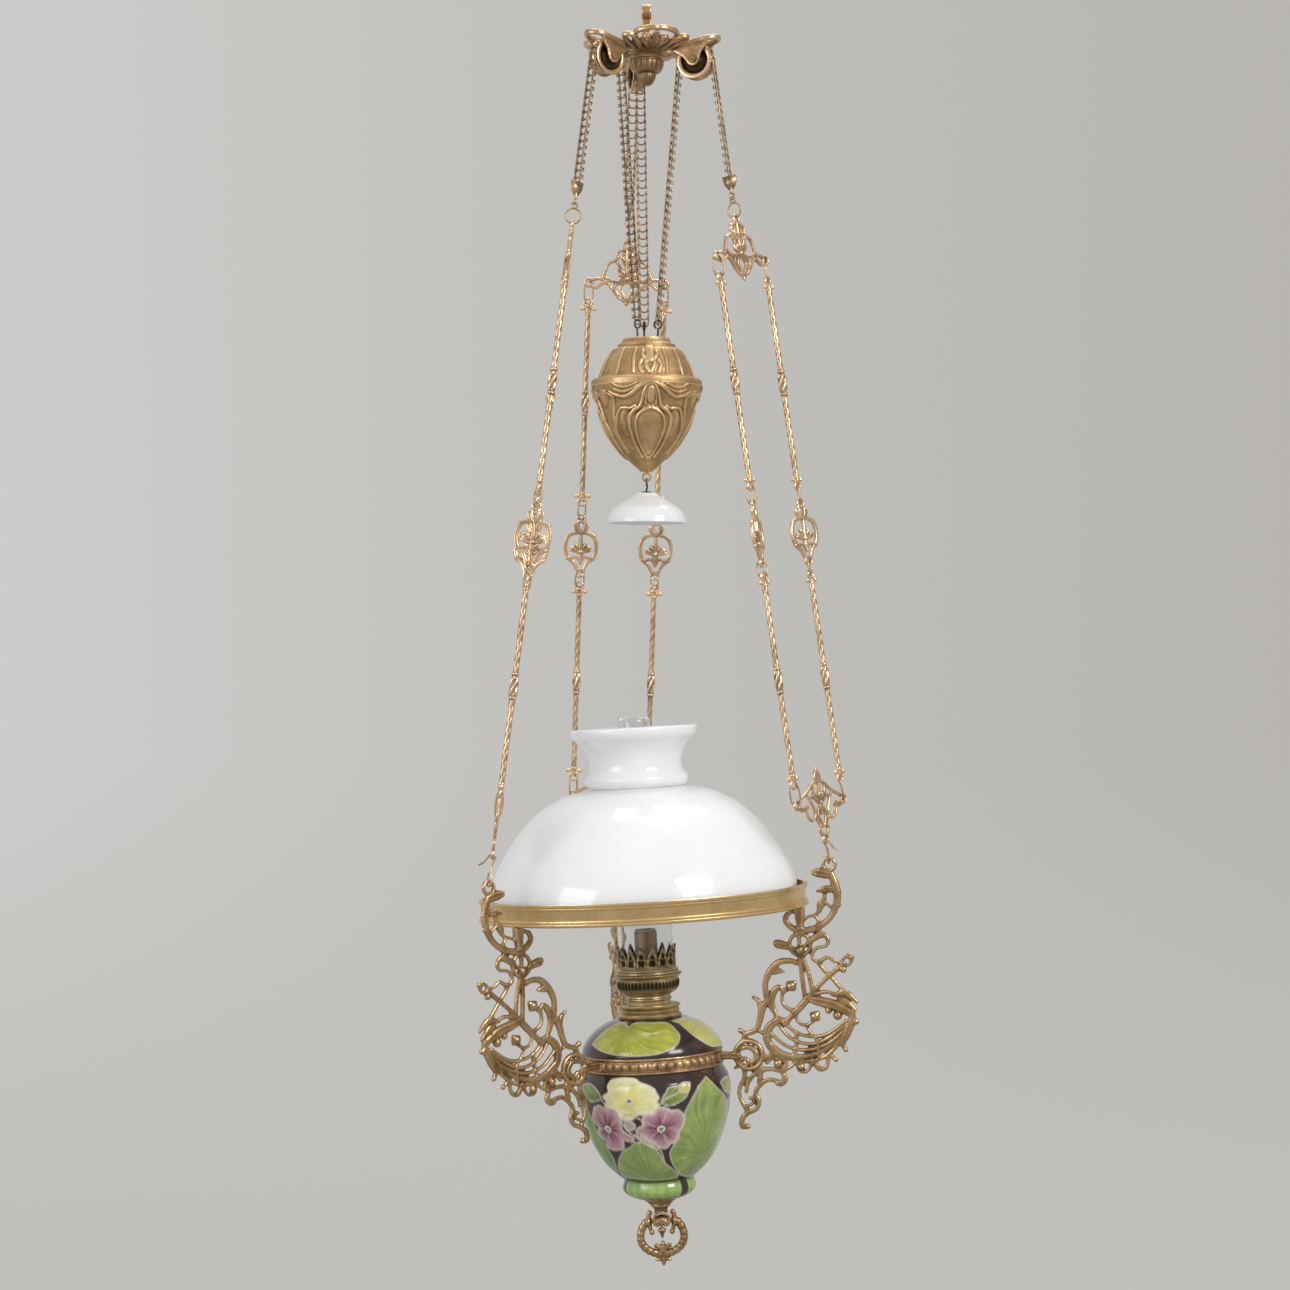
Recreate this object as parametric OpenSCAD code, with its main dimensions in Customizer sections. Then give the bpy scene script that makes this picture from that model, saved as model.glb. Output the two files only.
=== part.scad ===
// Hanging paraffin lamp with counterweight, three pulleys and three chain legs.
// Millimetres, +Z up, origin at the centre of the hanging eye, +Y away from the viewer.

/* [Hanging eye and corona] */
// radius of the hole in the hanging eye
eye_hole_r = 5.5; // [4:0.1:8]
// thickness of the strip that forms the hanging eye
eye_wall = 2.2; // [1.5:0.1:3]
// width of the strip, along the hole
eye_strip_w = 9.6; // [7:0.1:14]
// drop from the hanging eye to the top of the corona
corona_drop_z = 38; // [30:0.5:50]
// thickness of the openwork corona
corona_t = 5; // [3:0.25:8]
// turn of the three legs about the lamp's axis
legs_turn = 11; // [-30:1:30]
// distance of each pulley from the lamp's axis
pulley_pos_r = 50; // [46:0.5:58]
// radius at which the chain runs round a pulley
pulley_pitch_r = 16.5; // [15:0.25:18]
// width of a pulley over its flanges
pulley_w = 13.2; // [11:0.2:15]
// radius of the pulley axles
axle_r = 2.5; // [2:0.1:3]

/* [Chains] */
// radius of the chain wire
chain_wire_r = 1.1; // [0.8:0.05:1.3]
// half the distance between the two side wires
chain_half_w = 3.2; // [2.6:0.1:3.6]
// distance from rung to rung
chain_pitch = 7.2; // [6:0.1:10]

/* [Counterweight and smoke bell] */
// drop from the hanging eye to the top of the counterweight
weight_top_z = 315.6; // [280:1:340]
// height of the counterweight
weight_h = 128.3; // [100:1:160]
// largest radius of the counterweight
weight_r = 53.5; // [45:0.5:65]
// wall of the counterweight's shells
weight_wall = 3; // [2:0.25:5]
// part of the counterweight's height that is filled with ballast
ballast_fill = 0.8; // [0.3:0.01:0.9]
// largest radius of the smoke bell
bell_r = 38.6; // [30:0.5:48]
// height of the smoke bell
bell_h = 29; // [22:0.5:40]
// thickness of the bell's glass
bell_wall = 2.2; // [1.5:0.1:3]

/* [Legs] */
// half the distance between the two rods of a leg
rod_half_gap = 38; // [34:0.5:42]
// radius of a rope rod
rod_r = 2.6; // [2:0.1:3.4]
// length of a lower rod, eye to eye
lower_rod_l = 197; // [170:1:200]
// length of an upper rod, eye to eye
upper_rod_l = 200; // [170:1:206]
// height of a medallion, eye to eye
medallion_h = 56; // [50:0.5:62]
// thickness of yokes and medallions
casting_t = 3.6; // [2.6:0.1:4]
// turn of the back, left and right yokes about their legs
yoke_turn = [-11, -38, -20];
// length added to the back, left and right hooks
hook_more = [12, 9, 2];

/* [Lamp] */
// lean of the hanging lamp towards its left and back legs
hang_tilt = 3.4; // [0:0.1:5]
// drop from the hanging eye to the middle of the lamp
lamp_mid_z = 908; // [890:1:930]
// reach of an arm's eye from the lamp's axis
arm_reach = 187; // [180:0.5:195]
// thickness of the openwork arms
arm_t = 7; // [4:0.25:10]
// outer radius of the shade ring's wall
ring_r = 156.5; // [152:0.25:160]
// wall of the shade ring
ring_wall = 1.6; // [1:0.1:4]
// height of the shade ring
ring_h = 21; // [16:0.5:28]
// outer radius of the shade at its foot
shade_r = 150; // [146:0.5:151]
// height of the shade, foot to rim
shade_h = 177; // [150:1:190]
// thickness of the shade's glass
shade_wall = 3.5; // [2.5:0.1:4.5]
// radius of the chimney at its foot
chimney_r = 26.3; // [24:0.1:26.6]
// height of the chimney
chimney_h = 244; // [210:1:260]
// thickness of the chimney's glass
chimney_wall = 1.8; // [1.2:0.1:2.4]
// inner radius of the vase band
band_in_r = 62; // [60:0.25:64]
// height of the vase band
band_h = 15.5; // [13:0.5:20]
// largest radius of the vase bowl
bowl_r = 73.3; // [70:0.25:78]
// height of the vase bowl below the band
bowl_h = 126.5; // [114:0.5:136]
// wall of the vase bowl
bowl_wall = 4.5; // [3:0.25:6]
// depth of the oil tank
tank_h = 60; // [40:1:66]
// outer radius of the wick tube
wick_tube_r = 11; // [9:0.25:12]
// radius of the wick knob
knob_r = 9; // [6:0.25:12]
// radius of the pull ring's centre line
pull_r = 21; // [18:0.25:26]
// radius of the pull ring's section
pull_section_r = 3.8; // [3:0.1:4.6]

/* [Fits] */
// running clearance round pins
run_gap = 0.05; // [0.02:0.01:0.1]
// clearance between pieces that are set into each other
set_gap = 0.1; // [0.02:0.01:0.3]

/* [Hidden] */
$fn = 64;
e = 0.01;
LEGS = ["back", "left", "right"];
leg_az = [for (i = [0:2]) 90 + legs_turn + 120 * i];

// colours
gilt = [0.70, 0.55, 0.31];
dark_gilt = [0.55, 0.42, 0.24];
steel = [0.20, 0.19, 0.19];
opal = [0.95, 0.95, 0.94];
clear = [0.85, 0.88, 0.90, 0.35];
glaze = [0.25, 0.18, 0.16];
cotton = [0.86, 0.82, 0.72];
iron = [0.25, 0.25, 0.26];

// corona
corona_top = -corona_drop_z;
corona_bot = corona_top - corona_t;
pulley_z = corona_top - 13;
drum_r = pulley_pitch_r - chain_wire_r - run_gap;
flange_r = pulley_pitch_r + 1;
fork_half = pulley_w / 2 + 2;
cheek_t = 3;

// lamp levels, before it leans
mid_z = -lamp_mid_z;
ring_top = mid_z + 60.5;
ring_bot = ring_top - ring_h;
ledge_t = 1.6;
shade_foot = ring_bot + ledge_t;
band_top = mid_z - 93;
band_bot = band_top - band_h;
flange_top = mid_z - 16.5;
collar_top = mid_z - 49.3;
dome_top = mid_z - 62;
arm_zero = band_top - 16.1;
arm_eye_v = 188.5;
cup_v = ring_bot - arm_zero - e;
bowl_bot = band_bot - bowl_h;
handle_z = bowl_bot - 22.5;

// lean of the lamp: the right leg's side is up
lean_az = leg_az[2];
lean_dir = [cos(lean_az), sin(lean_az), 0];
lean_side = [-sin(lean_az), cos(lean_az), 0];
function hung_point(p) =
    let (c = p * lean_dir, s = p * lean_side, h = p[2] - mid_z)
    (c * cos(hang_tilt) - h * sin(hang_tilt)) * lean_dir + s * lean_side
    + [0, 0, mid_z + h * cos(hang_tilt) + c * sin(hang_tilt)];
module hung() {
    translate([0, 0, mid_z])
        rotate(a = hang_tilt, v = [sin(lean_az), -cos(lean_az), 0])
            translate([0, 0, -mid_z])
                children();
}

// a point at radius r, azimuth a and height z
function polar(r, a, z) = [r * cos(a), r * sin(a), z];
function unit(v) = v / norm(v);

// legs: from the arm's eye up to where the chain leaves the pulley
function leg_foot(i) = hung_point(polar(arm_reach, leg_az[i], arm_zero + arm_eye_v));
leg_slope = atan2(arm_reach - pulley_pos_r - pulley_pitch_r, pulley_z - arm_zero - arm_eye_v);
function leg_head(i) = polar(
    pulley_pos_r + pulley_pitch_r * cos(leg_slope), leg_az[i], pulley_z + pulley_pitch_r * sin(leg_slope));
function leg_len(i) = norm(leg_head(i) - leg_foot(i));
function frame_up(a, b, side) =
    let (z = unit(b - a), x = unit(side - (side * z) * z), y = cross(z, x))
    [[x[0], y[0], z[0], a[0]], [x[1], y[1], z[1], a[1]], [x[2], y[2], z[2], a[2]], [0, 0, 0, 1]];
// local frame with +Z up the leg from the arm's eye, +X along the pulley's axle
module on_leg(i) {
    multmatrix(frame_up(leg_foot(i), leg_head(i), [-sin(leg_az[i]), cos(leg_az[i]), 0]))
        children();
}
// the same frame, raised by what the leg's hook is longer
module up_leg(i) {
    on_leg(i)
        translate([0, 0, hook_more[i]])
            children();
}
hook_l = 22;
eye_hole = 2.6;
eye_ring = 5.2;
link_s = 1.8;
link_w = 10;
yoke_link = 20;
medal_link = 17;
low_medal_link = 13;
low_yoke_s = hook_l + 35;
low_rod_a = low_yoke_s + yoke_link;
low_rod_b = low_rod_a + lower_rod_l;
medal_a = low_rod_b + low_medal_link;
medal_b = medal_a + medallion_h;
up_rod_a = medal_b + medal_link;
up_rod_b = up_rod_a + upper_rod_l;
up_yoke_s = up_rod_b + yoke_link;
lug_s = up_yoke_s + 38;
join_r = 7.3;
loop_r = 2.9;
join_s = lug_s + 1.2 + join_r;
tab_eye_s = join_s + join_r + 2 * loop_r + 0.9;
tab_top_s = tab_eye_s + 19.5;

// counterweight hooks
hook_pos_r = 11.6;
hook_eye_z = -weight_top_z + 13.6;
hook_slope = atan2(pulley_pos_r - pulley_pitch_r - hook_pos_r, pulley_z - hook_eye_z);
weight_eye_z = -weight_top_z - weight_h - 5;

// smooth curve through points
function spline_at(a, b, c, d, t) =
    0.5 * (2 * b + (c - a) * t + (2 * a - 5 * b + 4 * c - d) * t * t + (3 * b - a - 3 * c + d) * t * t * t);
function spline(p, n) = [
    for (i = [0:len(p) - 2])
        for (k = [0:n - 1])
            spline_at(p[max(i - 1, 0)], p[i], p[i + 1], p[min(i + 2, len(p) - 1)], k / n),
    p[len(p) - 1]];
function widths(w, m, n) = [
    for (i = [0:m - 2])
        for (k = [0:n - 1])
            w[min(i, len(w) - 1)] + (w[min(i + 1, len(w) - 1)] - w[min(i, len(w) - 1)]) * k / n,
    w[min(m - 1, len(w) - 1)]];
function side_at(q, i) =
    let (d = unit(q[min(i + 1, len(q) - 1)] - q[max(i - 1, 0)])) [-d[1], d[0]];
// flat stroke of changing width along a smooth curve
module stroke(p, w, n = 2) {
    q = spline(p, n);
    v = widths(w, len(p), n);
    for (i = [0:len(q) - 2]) {
        polygon([
            q[i] + side_at(q, i) * v[i] / 2,
            q[i + 1] + side_at(q, i + 1) * v[i + 1] / 2,
            q[i + 1] - side_at(q, i + 1) * v[i + 1] / 2,
            q[i] - side_at(q, i) * v[i] / 2]);
    }
    translate(q[0])
        circle(d = v[0], $fn = 12);
    translate(q[len(q) - 1])
        circle(d = v[len(v) - 1], $fn = 12);
}
module hoop(c, r, w) {
    translate(c)
        difference() {
            circle(r = r + w / 2, $fn = 24);
            circle(r = r - w / 2, $fn = 24);
        }
}
module dot(c, r) {
    translate(c)
        circle(r = r, $fn = 16);
}
// both halves of a symmetrical casting
module both() {
    children();
    mirror([1, 0])
        children();
}
// flat casting standing in the local XZ plane
module upright(t) {
    rotate([90, 0, 0])
        translate([0, 0, -t / 2])
            linear_extrude(t)
                offset(delta = e)
                    children();
}
module spun(p) {
    rotate_extrude()
        polygon(p);
}
// flat ring with its hole along local Y
module eye_ring_y(c, r_in, r_out, t) {
    translate(c)
        rotate([90, 0, 0])
            translate([0, 0, -t / 2])
                difference() {
                    cylinder(h = t, r = r_out);
                    translate([0, 0, -1])
                        cylinder(h = t + 2, r = r_in);
                }
}
// corners of a link: half width h, bottom a, top b, bevel c
function link_path(h, a, b, c) =
    [[h, a + c], [h, b - c], [h - c, b], [c - h, b], [-h, b - c], [-h, a + c], [c - h, a], [h - c, a]];
// long link in the local YZ plane from bar to bar
module link_yz(x, a, b, w) {
    s = link_s / 2;
    translate([x - s, 0, 0])
        rotate([90, 0, 90])
            linear_extrude(link_s)
                polygon(
                    concat(link_path(w / 2, a - s, b + s, 2.4), link_path(w / 2 - link_s, a + s, b - s,
                        1.3)),
                    paths = [[0, 1, 2, 3, 4, 5, 6, 7], [8, 9, 10, 11, 12, 13, 14, 15]]);
}
// round wire ring with its hole along local X
module ring_x(c, r) {
    translate(c)
        rotate([0, 90, 0])
            translate([0, 0, -link_s / 2])
                difference() {
                    cylinder(h = link_s, r = r + link_s / 2);
                    translate([0, 0, -1])
                        cylinder(h = link_s + 2, r = r - link_s / 2);
                }
}
// ladder chain up local Z from a to b, rungs along local X
module ladder(a, b) {
    rungs = max(2, floor((b - a) / chain_pitch));
    step = (b - a - 2 * chain_wire_r) / rungs;
    for (s = [-1, 1]) {
        translate([s * chain_half_w, 0, a])
            cylinder(h = b - a, r = chain_wire_r);
    }
    for (k = [0:rungs]) {
        translate([-chain_half_w, 0, a + chain_wire_r + k * step])
            rotate([0, 90, 0])
                cylinder(h = 2 * chain_half_w, r = chain_wire_r * 0.85);
    }
}

module hanging_loop() {
    color(gilt)
        difference() {
            union() {
                translate([-eye_strip_w / 2, 0, 0])
                    rotate([0, 90, 0])
                        cylinder(h = eye_strip_w, r = eye_hole_r + eye_wall);
                translate([-eye_strip_w / 2, -2.5, corona_top + 2])
                    cube([eye_strip_w, 5, corona_drop_z - 2 - eye_hole_r]);
                translate([0, 0, corona_top])
                    cylinder(h = 3, r = 8);
                translate([0, 0, corona_bot - 12])
                    cylinder(h = corona_t + 13, r = 3);
            }
            translate([-eye_strip_w, 0, 0])
                rotate([0, 90, 0])
                    cylinder(h = 2 * eye_strip_w, r = eye_hole_r);
        }
}

// plan of the corona: hub, three palmette loops, six side loops and three forks
module corona_plan() {
    circle(r = 20);
    for (i = [0:2]) {
        rotate(leg_az[i]) {
            for (s = [-1, 1]) {
                stroke([[14, s * 7], [26, s * (fork_half + 1.9)], [pulley_pos_r + 12,
                    s * (fork_half + 1.9)]], [6, 3.8]);
                stroke([[20, s * 9], [32, s * 14], [44, s * 20], [50, s * 26], [45, s * 31], [34, s * 26],
                    [20, s * 15]],
                    [5, 4.2]);
            }
            intersection() {
                hoop([pulley_pos_r + 12, 0], fork_half + 1.9, 3.8);
                translate([pulley_pos_r + 12, -30])
                    square([40, 60]);
            }
        }
        rotate(leg_az[i] + 60) {
            for (s = [-1, 1]) {
                stroke([[16, s * 2], [24, s * 9], [33, s * 17], [44, s * 20.5], [54, s * 17], [60, s * 7],
                    [60.5, 0]],
                    [6, 5, 4.6, 4.6, 4.6, 4.4]);
                stroke([[24, s * 2], [34, s * 6], [41, s * 10], [45, s * 7]], [6, 5, 4, 2]);
            }
            stroke([[18, 0], [34, 0], [52, 0]], [10, 9, 4]);
        }
    }
}
module cheek() {
    rotate([90, 0, 0])
        linear_extrude(cheek_t)
            polygon([
                [26, corona_bot + 1], [pulley_pos_r + 15, corona_bot + 1], [pulley_pos_r + 13,
                    corona_bot - 4],
                [pulley_pos_r + 8, pulley_z - 3], [pulley_pos_r + 5, pulley_z - 7.5], [pulley_pos_r,
                    pulley_z - 9.5],
                [pulley_pos_r - 5, pulley_z - 7.5], [pulley_pos_r - 10, pulley_z - 1], [32,
                    corona_bot - 4]]);
}
module corona_casting() {
    color(gilt)
        difference() {
            union() {
                translate([0, 0, corona_bot])
                    linear_extrude(corona_t)
                        offset(delta = e)
                            corona_plan();
                translate([0, 0, corona_bot - 4])
                    cylinder(h = 5, r = 18);
                for (i = [0:2]) {
                    rotate(leg_az[i]) {
                        translate([0, fork_half + cheek_t, 0])
                            cheek();
                        translate([0, -fork_half, 0])
                            cheek();
                    }
                }
            }
            translate([0, 0, corona_bot - 20])
                cylinder(h = 60, r = 3 + set_gap);
            for (i = [0:2]) {
                rotate(leg_az[i])
                    translate([pulley_pos_r, 40, pulley_z])
                        rotate([90, 0, 0])
                            cylinder(h = 80, r = axle_r + run_gap);
            }
        }
}
module corona_drop() {
    z0 = corona_bot - 4;
    color(gilt)
        difference() {
            spun([
                [0, z0], [16, z0], [16.6, z0 - 2], [15.4, z0 - 6], [12.5, z0 - 10], [9, z0 - 12.5], [9.4,
                    z0 - 15],
                [8, z0 - 20], [5, z0 - 24.5], [2.5, z0 - 27], [0, z0 - 28]]);
            translate([0, 0, z0 - 8.5])
                cylinder(h = 10, r = 3 + set_gap);
        }
}
module pulley_axles() {
    l = 2 * (fork_half + cheek_t);
    color(dark_gilt)
        for (i = [0:2]) {
            rotate(leg_az[i])
                translate([pulley_pos_r, 0, pulley_z])
                    rotate([90, 0, 0]) {
                        translate([0, 0, -l / 2])
                            cylinder(h = l, r = axle_r);
                        translate([0, 0, l / 2])
                            cylinder(h = 1.6, r = axle_r + 1.4);
                        translate([0, 0, -l / 2 - 1.6])
                            cylinder(h = 1.6, r = axle_r + 1.4);
                    }
        }
}
module pulley(i) {
    h = pulley_w / 2;
    color(gilt)
        rotate(leg_az[i])
            translate([pulley_pos_r, 0, pulley_z])
                rotate([90, 0, 0])
                    spun([
                        [axle_r + run_gap, -h], [flange_r, -h], [flange_r,
                            0.4 - chain_half_w - chain_wire_r - 1],
                        [drum_r, -chain_half_w - chain_wire_r - 0.3], [drum_r,
                            chain_half_w + chain_wire_r + 0.3],
                        [flange_r, chain_half_w + chain_wire_r + 0.6], [flange_r, h], [axle_r + run_gap,
                            h]]);
}
module pulley_chains() {
    span = 180 - leg_slope - hook_slope;
    turns = floor(span * PI * pulley_pitch_r / 180 / chain_pitch);
    color(gilt)
        for (i = [0:2]) {
            rotate(leg_az[i])
                translate([pulley_pos_r, 0, pulley_z])
                    rotate([90, 0, 0]) {
                        for (s = [-1, 1]) {
                            translate([0, 0, s * chain_half_w])
                                rotate(leg_slope)
                                    rotate_extrude(angle = span)
                                        translate([pulley_pitch_r, 0])
                                            circle(r = chain_wire_r);
                        }
                        for (k = [0:turns]) {
                            rotate(leg_slope + 5 + k * (span - 10) / turns)
                                translate([pulley_pitch_r, 0, -chain_half_w])
                                    cylinder(h = 2 * chain_half_w, r = chain_wire_r * 0.85);
                        }
                    }
        }
}
module chain_outer(i) {
    color(gilt)
        on_leg(i)
            ladder(tab_top_s + hook_more[i] - 3.2, leg_len(i) - set_gap);
}
module chain_inner(i) {
    top = polar(
        pulley_pos_r - pulley_pitch_r * cos(hook_slope), leg_az[i],
            pulley_z + pulley_pitch_r * sin(hook_slope));
    foot = polar(hook_pos_r, leg_az[i], hook_eye_z);
    color(gilt)
        multmatrix(frame_up(foot, top, [-sin(leg_az[i]), cos(leg_az[i]), 0]))
            ladder(0, norm(top - foot) - set_gap);
}

// counterweight outline from the top down: share of the radius, share of the height
weight_line = [
    [0.424, 0], [0.45, 0.03], [0.517, 0.045], [0.525, 0.067], [0.613, 0.09], [0.72, 0.157], [0.802, 0.233],
    [0.848, 0.285], [0.902, 0.301], [0.992, 0.316], [1, 0.361], [0.974, 0.398], [0.938, 0.443], [0.875,
        0.511],
    [0.785, 0.646], [0.648, 0.752], [0.462, 0.857], [0.26, 0.94], [0.1, 1]];
split = 10;
function weight_pt(k, inset) =
    [max(weight_line[k][0] * weight_r - inset, 0.4), -weight_top_z - weight_line[k][1] * weight_h];
module weight_lid() {
    color(dark_gilt)
        difference() {
            spun(concat(
                [[0, -weight_top_z]], [for (k = [0:split]) weight_pt(k, 0)],
                [for (k = [split:-1:2]) weight_pt(k, weight_wall)], [[0, weight_pt(2, 0)[1]]]));
            for (i = [0:2]) {
                rotate(leg_az[i])
                    translate([hook_pos_r, 0, -weight_top_z - 20])
                        cylinder(h = 40, r = 1.5 + set_gap);
            }
        }
}
module weight_bowl() {
    last = len(weight_line) - 1;
    color(dark_gilt)
        difference() {
            spun(concat(
                [for (k = [split:last]) weight_pt(k, 0)], [[0, weight_pt(last, 0)[1]], [0,
                    weight_pt(last - 1, 0)[1]]],
                [for (k = [last - 1:-1:split]) weight_pt(k, weight_wall)]));
            translate([0, 0, weight_pt(last, 0)[1] - 1])
                cylinder(h = 30, r = 2 + set_gap);
        }
}
module weight_ballast() {
    last = len(weight_line) - 1;
    top_share = 0.94 - ballast_fill * 0.895;
    keep = [for (k = [3:last - 1]) if (weight_line[k][1] > top_share) k];
    k0 = keep[0];
    share = (top_share - weight_line[k0 - 1][1]) / (weight_line[k0][1] - weight_line[k0 - 1][1]);
    rim = weight_pt(k0 - 1, 0)[0] + share * (weight_pt(k0, 0)[0] - weight_pt(k0 - 1,
        0)[0]) - weight_wall - set_gap;
    color(iron)
        difference() {
            spun(concat(
                [[0, -weight_top_z - top_share * weight_h], [rim, -weight_top_z - top_share * weight_h]],
                [for (k = keep) weight_pt(k, weight_wall + set_gap)], [[0, weight_pt(last - 1,
                    0)[1] + e]]));
            translate([0, 0, -weight_top_z - weight_h - 1])
                cylinder(h = weight_h, r = 2 + set_gap);
            for (i = [0:2]) {
                rotate(leg_az[i])
                    translate([hook_pos_r, 0, -weight_top_z - 8])
                        cylinder(h = 20, r = 2.8);
            }
        }
}
module weight_hooks() {
    color(steel)
        for (i = [0:2]) {
            rotate(leg_az[i])
                translate([hook_pos_r, 0, 0]) {
                    translate([0, 0, -weight_top_z - 7])
                        cylinder(h = 17, r = 1.5);
                    translate([0, 0, -weight_top_z - 7.6])
                        cylinder(h = 1.6, r = 2.6);
                    eye_ring_y([0, 0, hook_eye_z], 2.4, 4.6, 2);
                }
        }
}
module weight_eye() {
    color(dark_gilt) {
        eye_ring_y([0, 0, weight_eye_z], eye_hole, eye_ring - 0.4, 2.6);
        translate([0, 0, weight_eye_z + 3.6])
            cylinder(h = 18, r = 2);
    }
}
bell_top = weight_eye_z - 15.4;
bell_line = [[0.25, 0], [0.35, 0.1], [0.6, 0.3], [0.85, 0.53], [0.964, 0.77], [1, 1]];
module bell_hook() {
    color(steel) {
        link_yz(0, bell_top + 4.5, weight_eye_z - 1.4, 9);
        translate([0, 0, bell_top - 8])
            cylinder(h = 13, r = 1.3);
        translate([0, 0, bell_top])
            cylinder(h = 1.6, r = 5);
        translate([0, 0, bell_top - 7])
            cylinder(h = 4.4, r = 4);
    }
}
module bell_glass() {
    n = len(bell_line) - 1;
    color(opal)
        spun(concat(
            [[1.3 + set_gap, bell_top]], [for (k = [0:n]) [bell_line[k][0] * bell_r,
                bell_top - bell_line[k][1] * bell_h]],
            [for (k = [n:-1:1]) [bell_line[k][0] * bell_r - bell_wall,
                bell_top - bell_line[k][1] * bell_h - (k == n ? 0 : 0.6)]],
            [[6, bell_top - 2.5], [1.3 + set_gap, bell_top - 2.5]]));
}

// small wire rings, hook and tab of one leg
module leg_links(i) {
    color(gilt) {
        on_leg(i) {
            rotate(yoke_turn[i])
                link_yz(0, 11.2, hook_l + hook_more[i] - 1.4, link_w);
            rotate(90)
                link_yz(0, 1.4, 11.4, link_w);
        }
        up_leg(i) {
            rotate(yoke_turn[i]) {
                for (s = [-1, 1]) {
                    link_yz(s * rod_half_gap, low_yoke_s + 1.4, low_rod_a - 1.4, link_w);
                    link_yz(s * rod_half_gap, low_rod_b + 1.4, medal_a - 1.4, link_w);
                    link_yz(s * rod_half_gap, medal_b + 1.4, up_rod_a - 1.4, link_w);
                    link_yz(s * rod_half_gap, up_rod_b + 1.4, up_yoke_s - 1.4, link_w);
                }
                ring_x([0, 0, join_s], join_r);
                ring_x([0, 0, join_s + join_r + loop_r], loop_r);
                eye_ring_y([0, 0, tab_eye_s], 2.4, 4.2, 1.4);
            }
            translate([0, 0, tab_eye_s + 3])
                cylinder(h = 5, r = 1.5);
            difference() {
                translate([-0.9, 0, tab_eye_s + 6])
                    rotate([90, 0, 90])
                        linear_extrude(1.8)
                            polygon([[-2, 0], [2, 0], [5.4, 4.5], [7, 13.5], [-7, 13.5], [-5.4, 4.5]]);
                translate([-5, 0, tab_top_s - 3.2 + chain_wire_r])
                    rotate([0, 90, 0])
                        cylinder(h = 10, r = chain_wire_r * 0.85 + 0.3);
            }
        }
    }
}
module up_yoke_half() {
    hoop([38, 0], (eye_ring + eye_hole) / 2, eye_ring - eye_hole);
    stroke([[34.5, 3], [31, 4], [26.5, 4.2], [21.5, 6]], [3, 3.4, 2.6, 3]);
    stroke([[35, -3], [30.8, -5], [27, -2.2], [21.5, 0.4], [16.5, -3], [11.4, -10], [6.3, -15], [0, -18]],
        [2.8]);
    stroke([[25, 3.5], [22, 12], [19, 19], [13, 22.5], [9.7, 25], [10.5, 29], [8, 32], [3, 34]], [3.2,
        2.8]);
    stroke([[12, 22], [7, 16.5], [8.5, 11], [4, 7]], [2.6, 3.4, 3, 4]);
    stroke([[22, 5.5], [16, 3], [9, 1], [2, 3]], [3, 2.8, 4, 6]);
    stroke([[10, 0], [12, -5], [8, -12]], [2.6]);
    stroke([[0, 4], [6, -4], [3, -12], [0, -18]], [4, 2.8]);
    stroke([[3, 30], [5.5, 26], [2, 20]], [2.6, 3, 5]);
}
module upper_yoke(i) {
    color(gilt)
        up_leg(i)
            rotate(yoke_turn[i])
                translate([0, 0, up_yoke_s])
                    upright(casting_t) {
                        difference() {
                            scale([rod_half_gap / 38, 1]) {
                                both()
                                    up_yoke_half();
                                stroke([[0, 35], [0, 22], [0, 8], [0, -3]], [5, 6, 12, 7]);
                                dot([0, -19.5], 2.6);
                            }
                            dot([0, 38], eye_hole + 0.2);
                            both()
                                dot([rod_half_gap, 0], eye_hole + e);
                        }
                        hoop([0, 38], (eye_ring + eye_hole) / 2, eye_ring - eye_hole);
                    }
}
module low_yoke_half() {
    hoop([38, 0], (eye_ring + eye_hole) / 2, eye_ring - eye_hole);
    stroke([[34.5, -3], [30, -5], [26, -3], [21, -3]], [3, 4, 3, 3.4]);
    stroke([[24, -3], [23, -11], [17, -16], [11, -12], [12, -4], [16, 3]], [3, 2.8, 2.8, 2.8, 2.6, 3]);
    stroke([[35, 3], [30, 6], [23, 9], [15, 14], [8, 19], [2, 20]], [2.6, 3, 3, 2.8]);
    stroke([[22, 9], [16, 5], [10, 6], [3, 2]], [2.6, 3, 3, 8]);
    stroke([[10, 16], [9, 9], [5, 5]], [2.6, 3, 5]);
    stroke([[4, -6], [6, -13], [3, -20], [7, -25], [3, -31]], [4, 3, 3.4, 3, 3]);
    stroke([[12, -13], [7, -18], [2, -22]], [2.6, 2.6, 4]);
    stroke([[0, 31], [3, 25], [2, 20]], [2, 5, 4]);
}
module lower_yoke(i) {
    color(gilt)
        up_leg(i)
            rotate(yoke_turn[i])
                translate([0, 0, low_yoke_s])
                    upright(casting_t) {
                        difference() {
                            scale([rod_half_gap / 38, 1]) {
                                both()
                                    low_yoke_half();
                                stroke([[0, 20], [0, 5], [0, -8]], [4, 15, 8]);
                            }
                            both()
                                dot([rod_half_gap, 0], eye_hole + e);
                            dot([0, -35], eye_hole + 0.2);
                        }
                        hoop([0, -35], (eye_ring + eye_hole) / 2, eye_ring - eye_hole);
                    }
}
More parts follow.
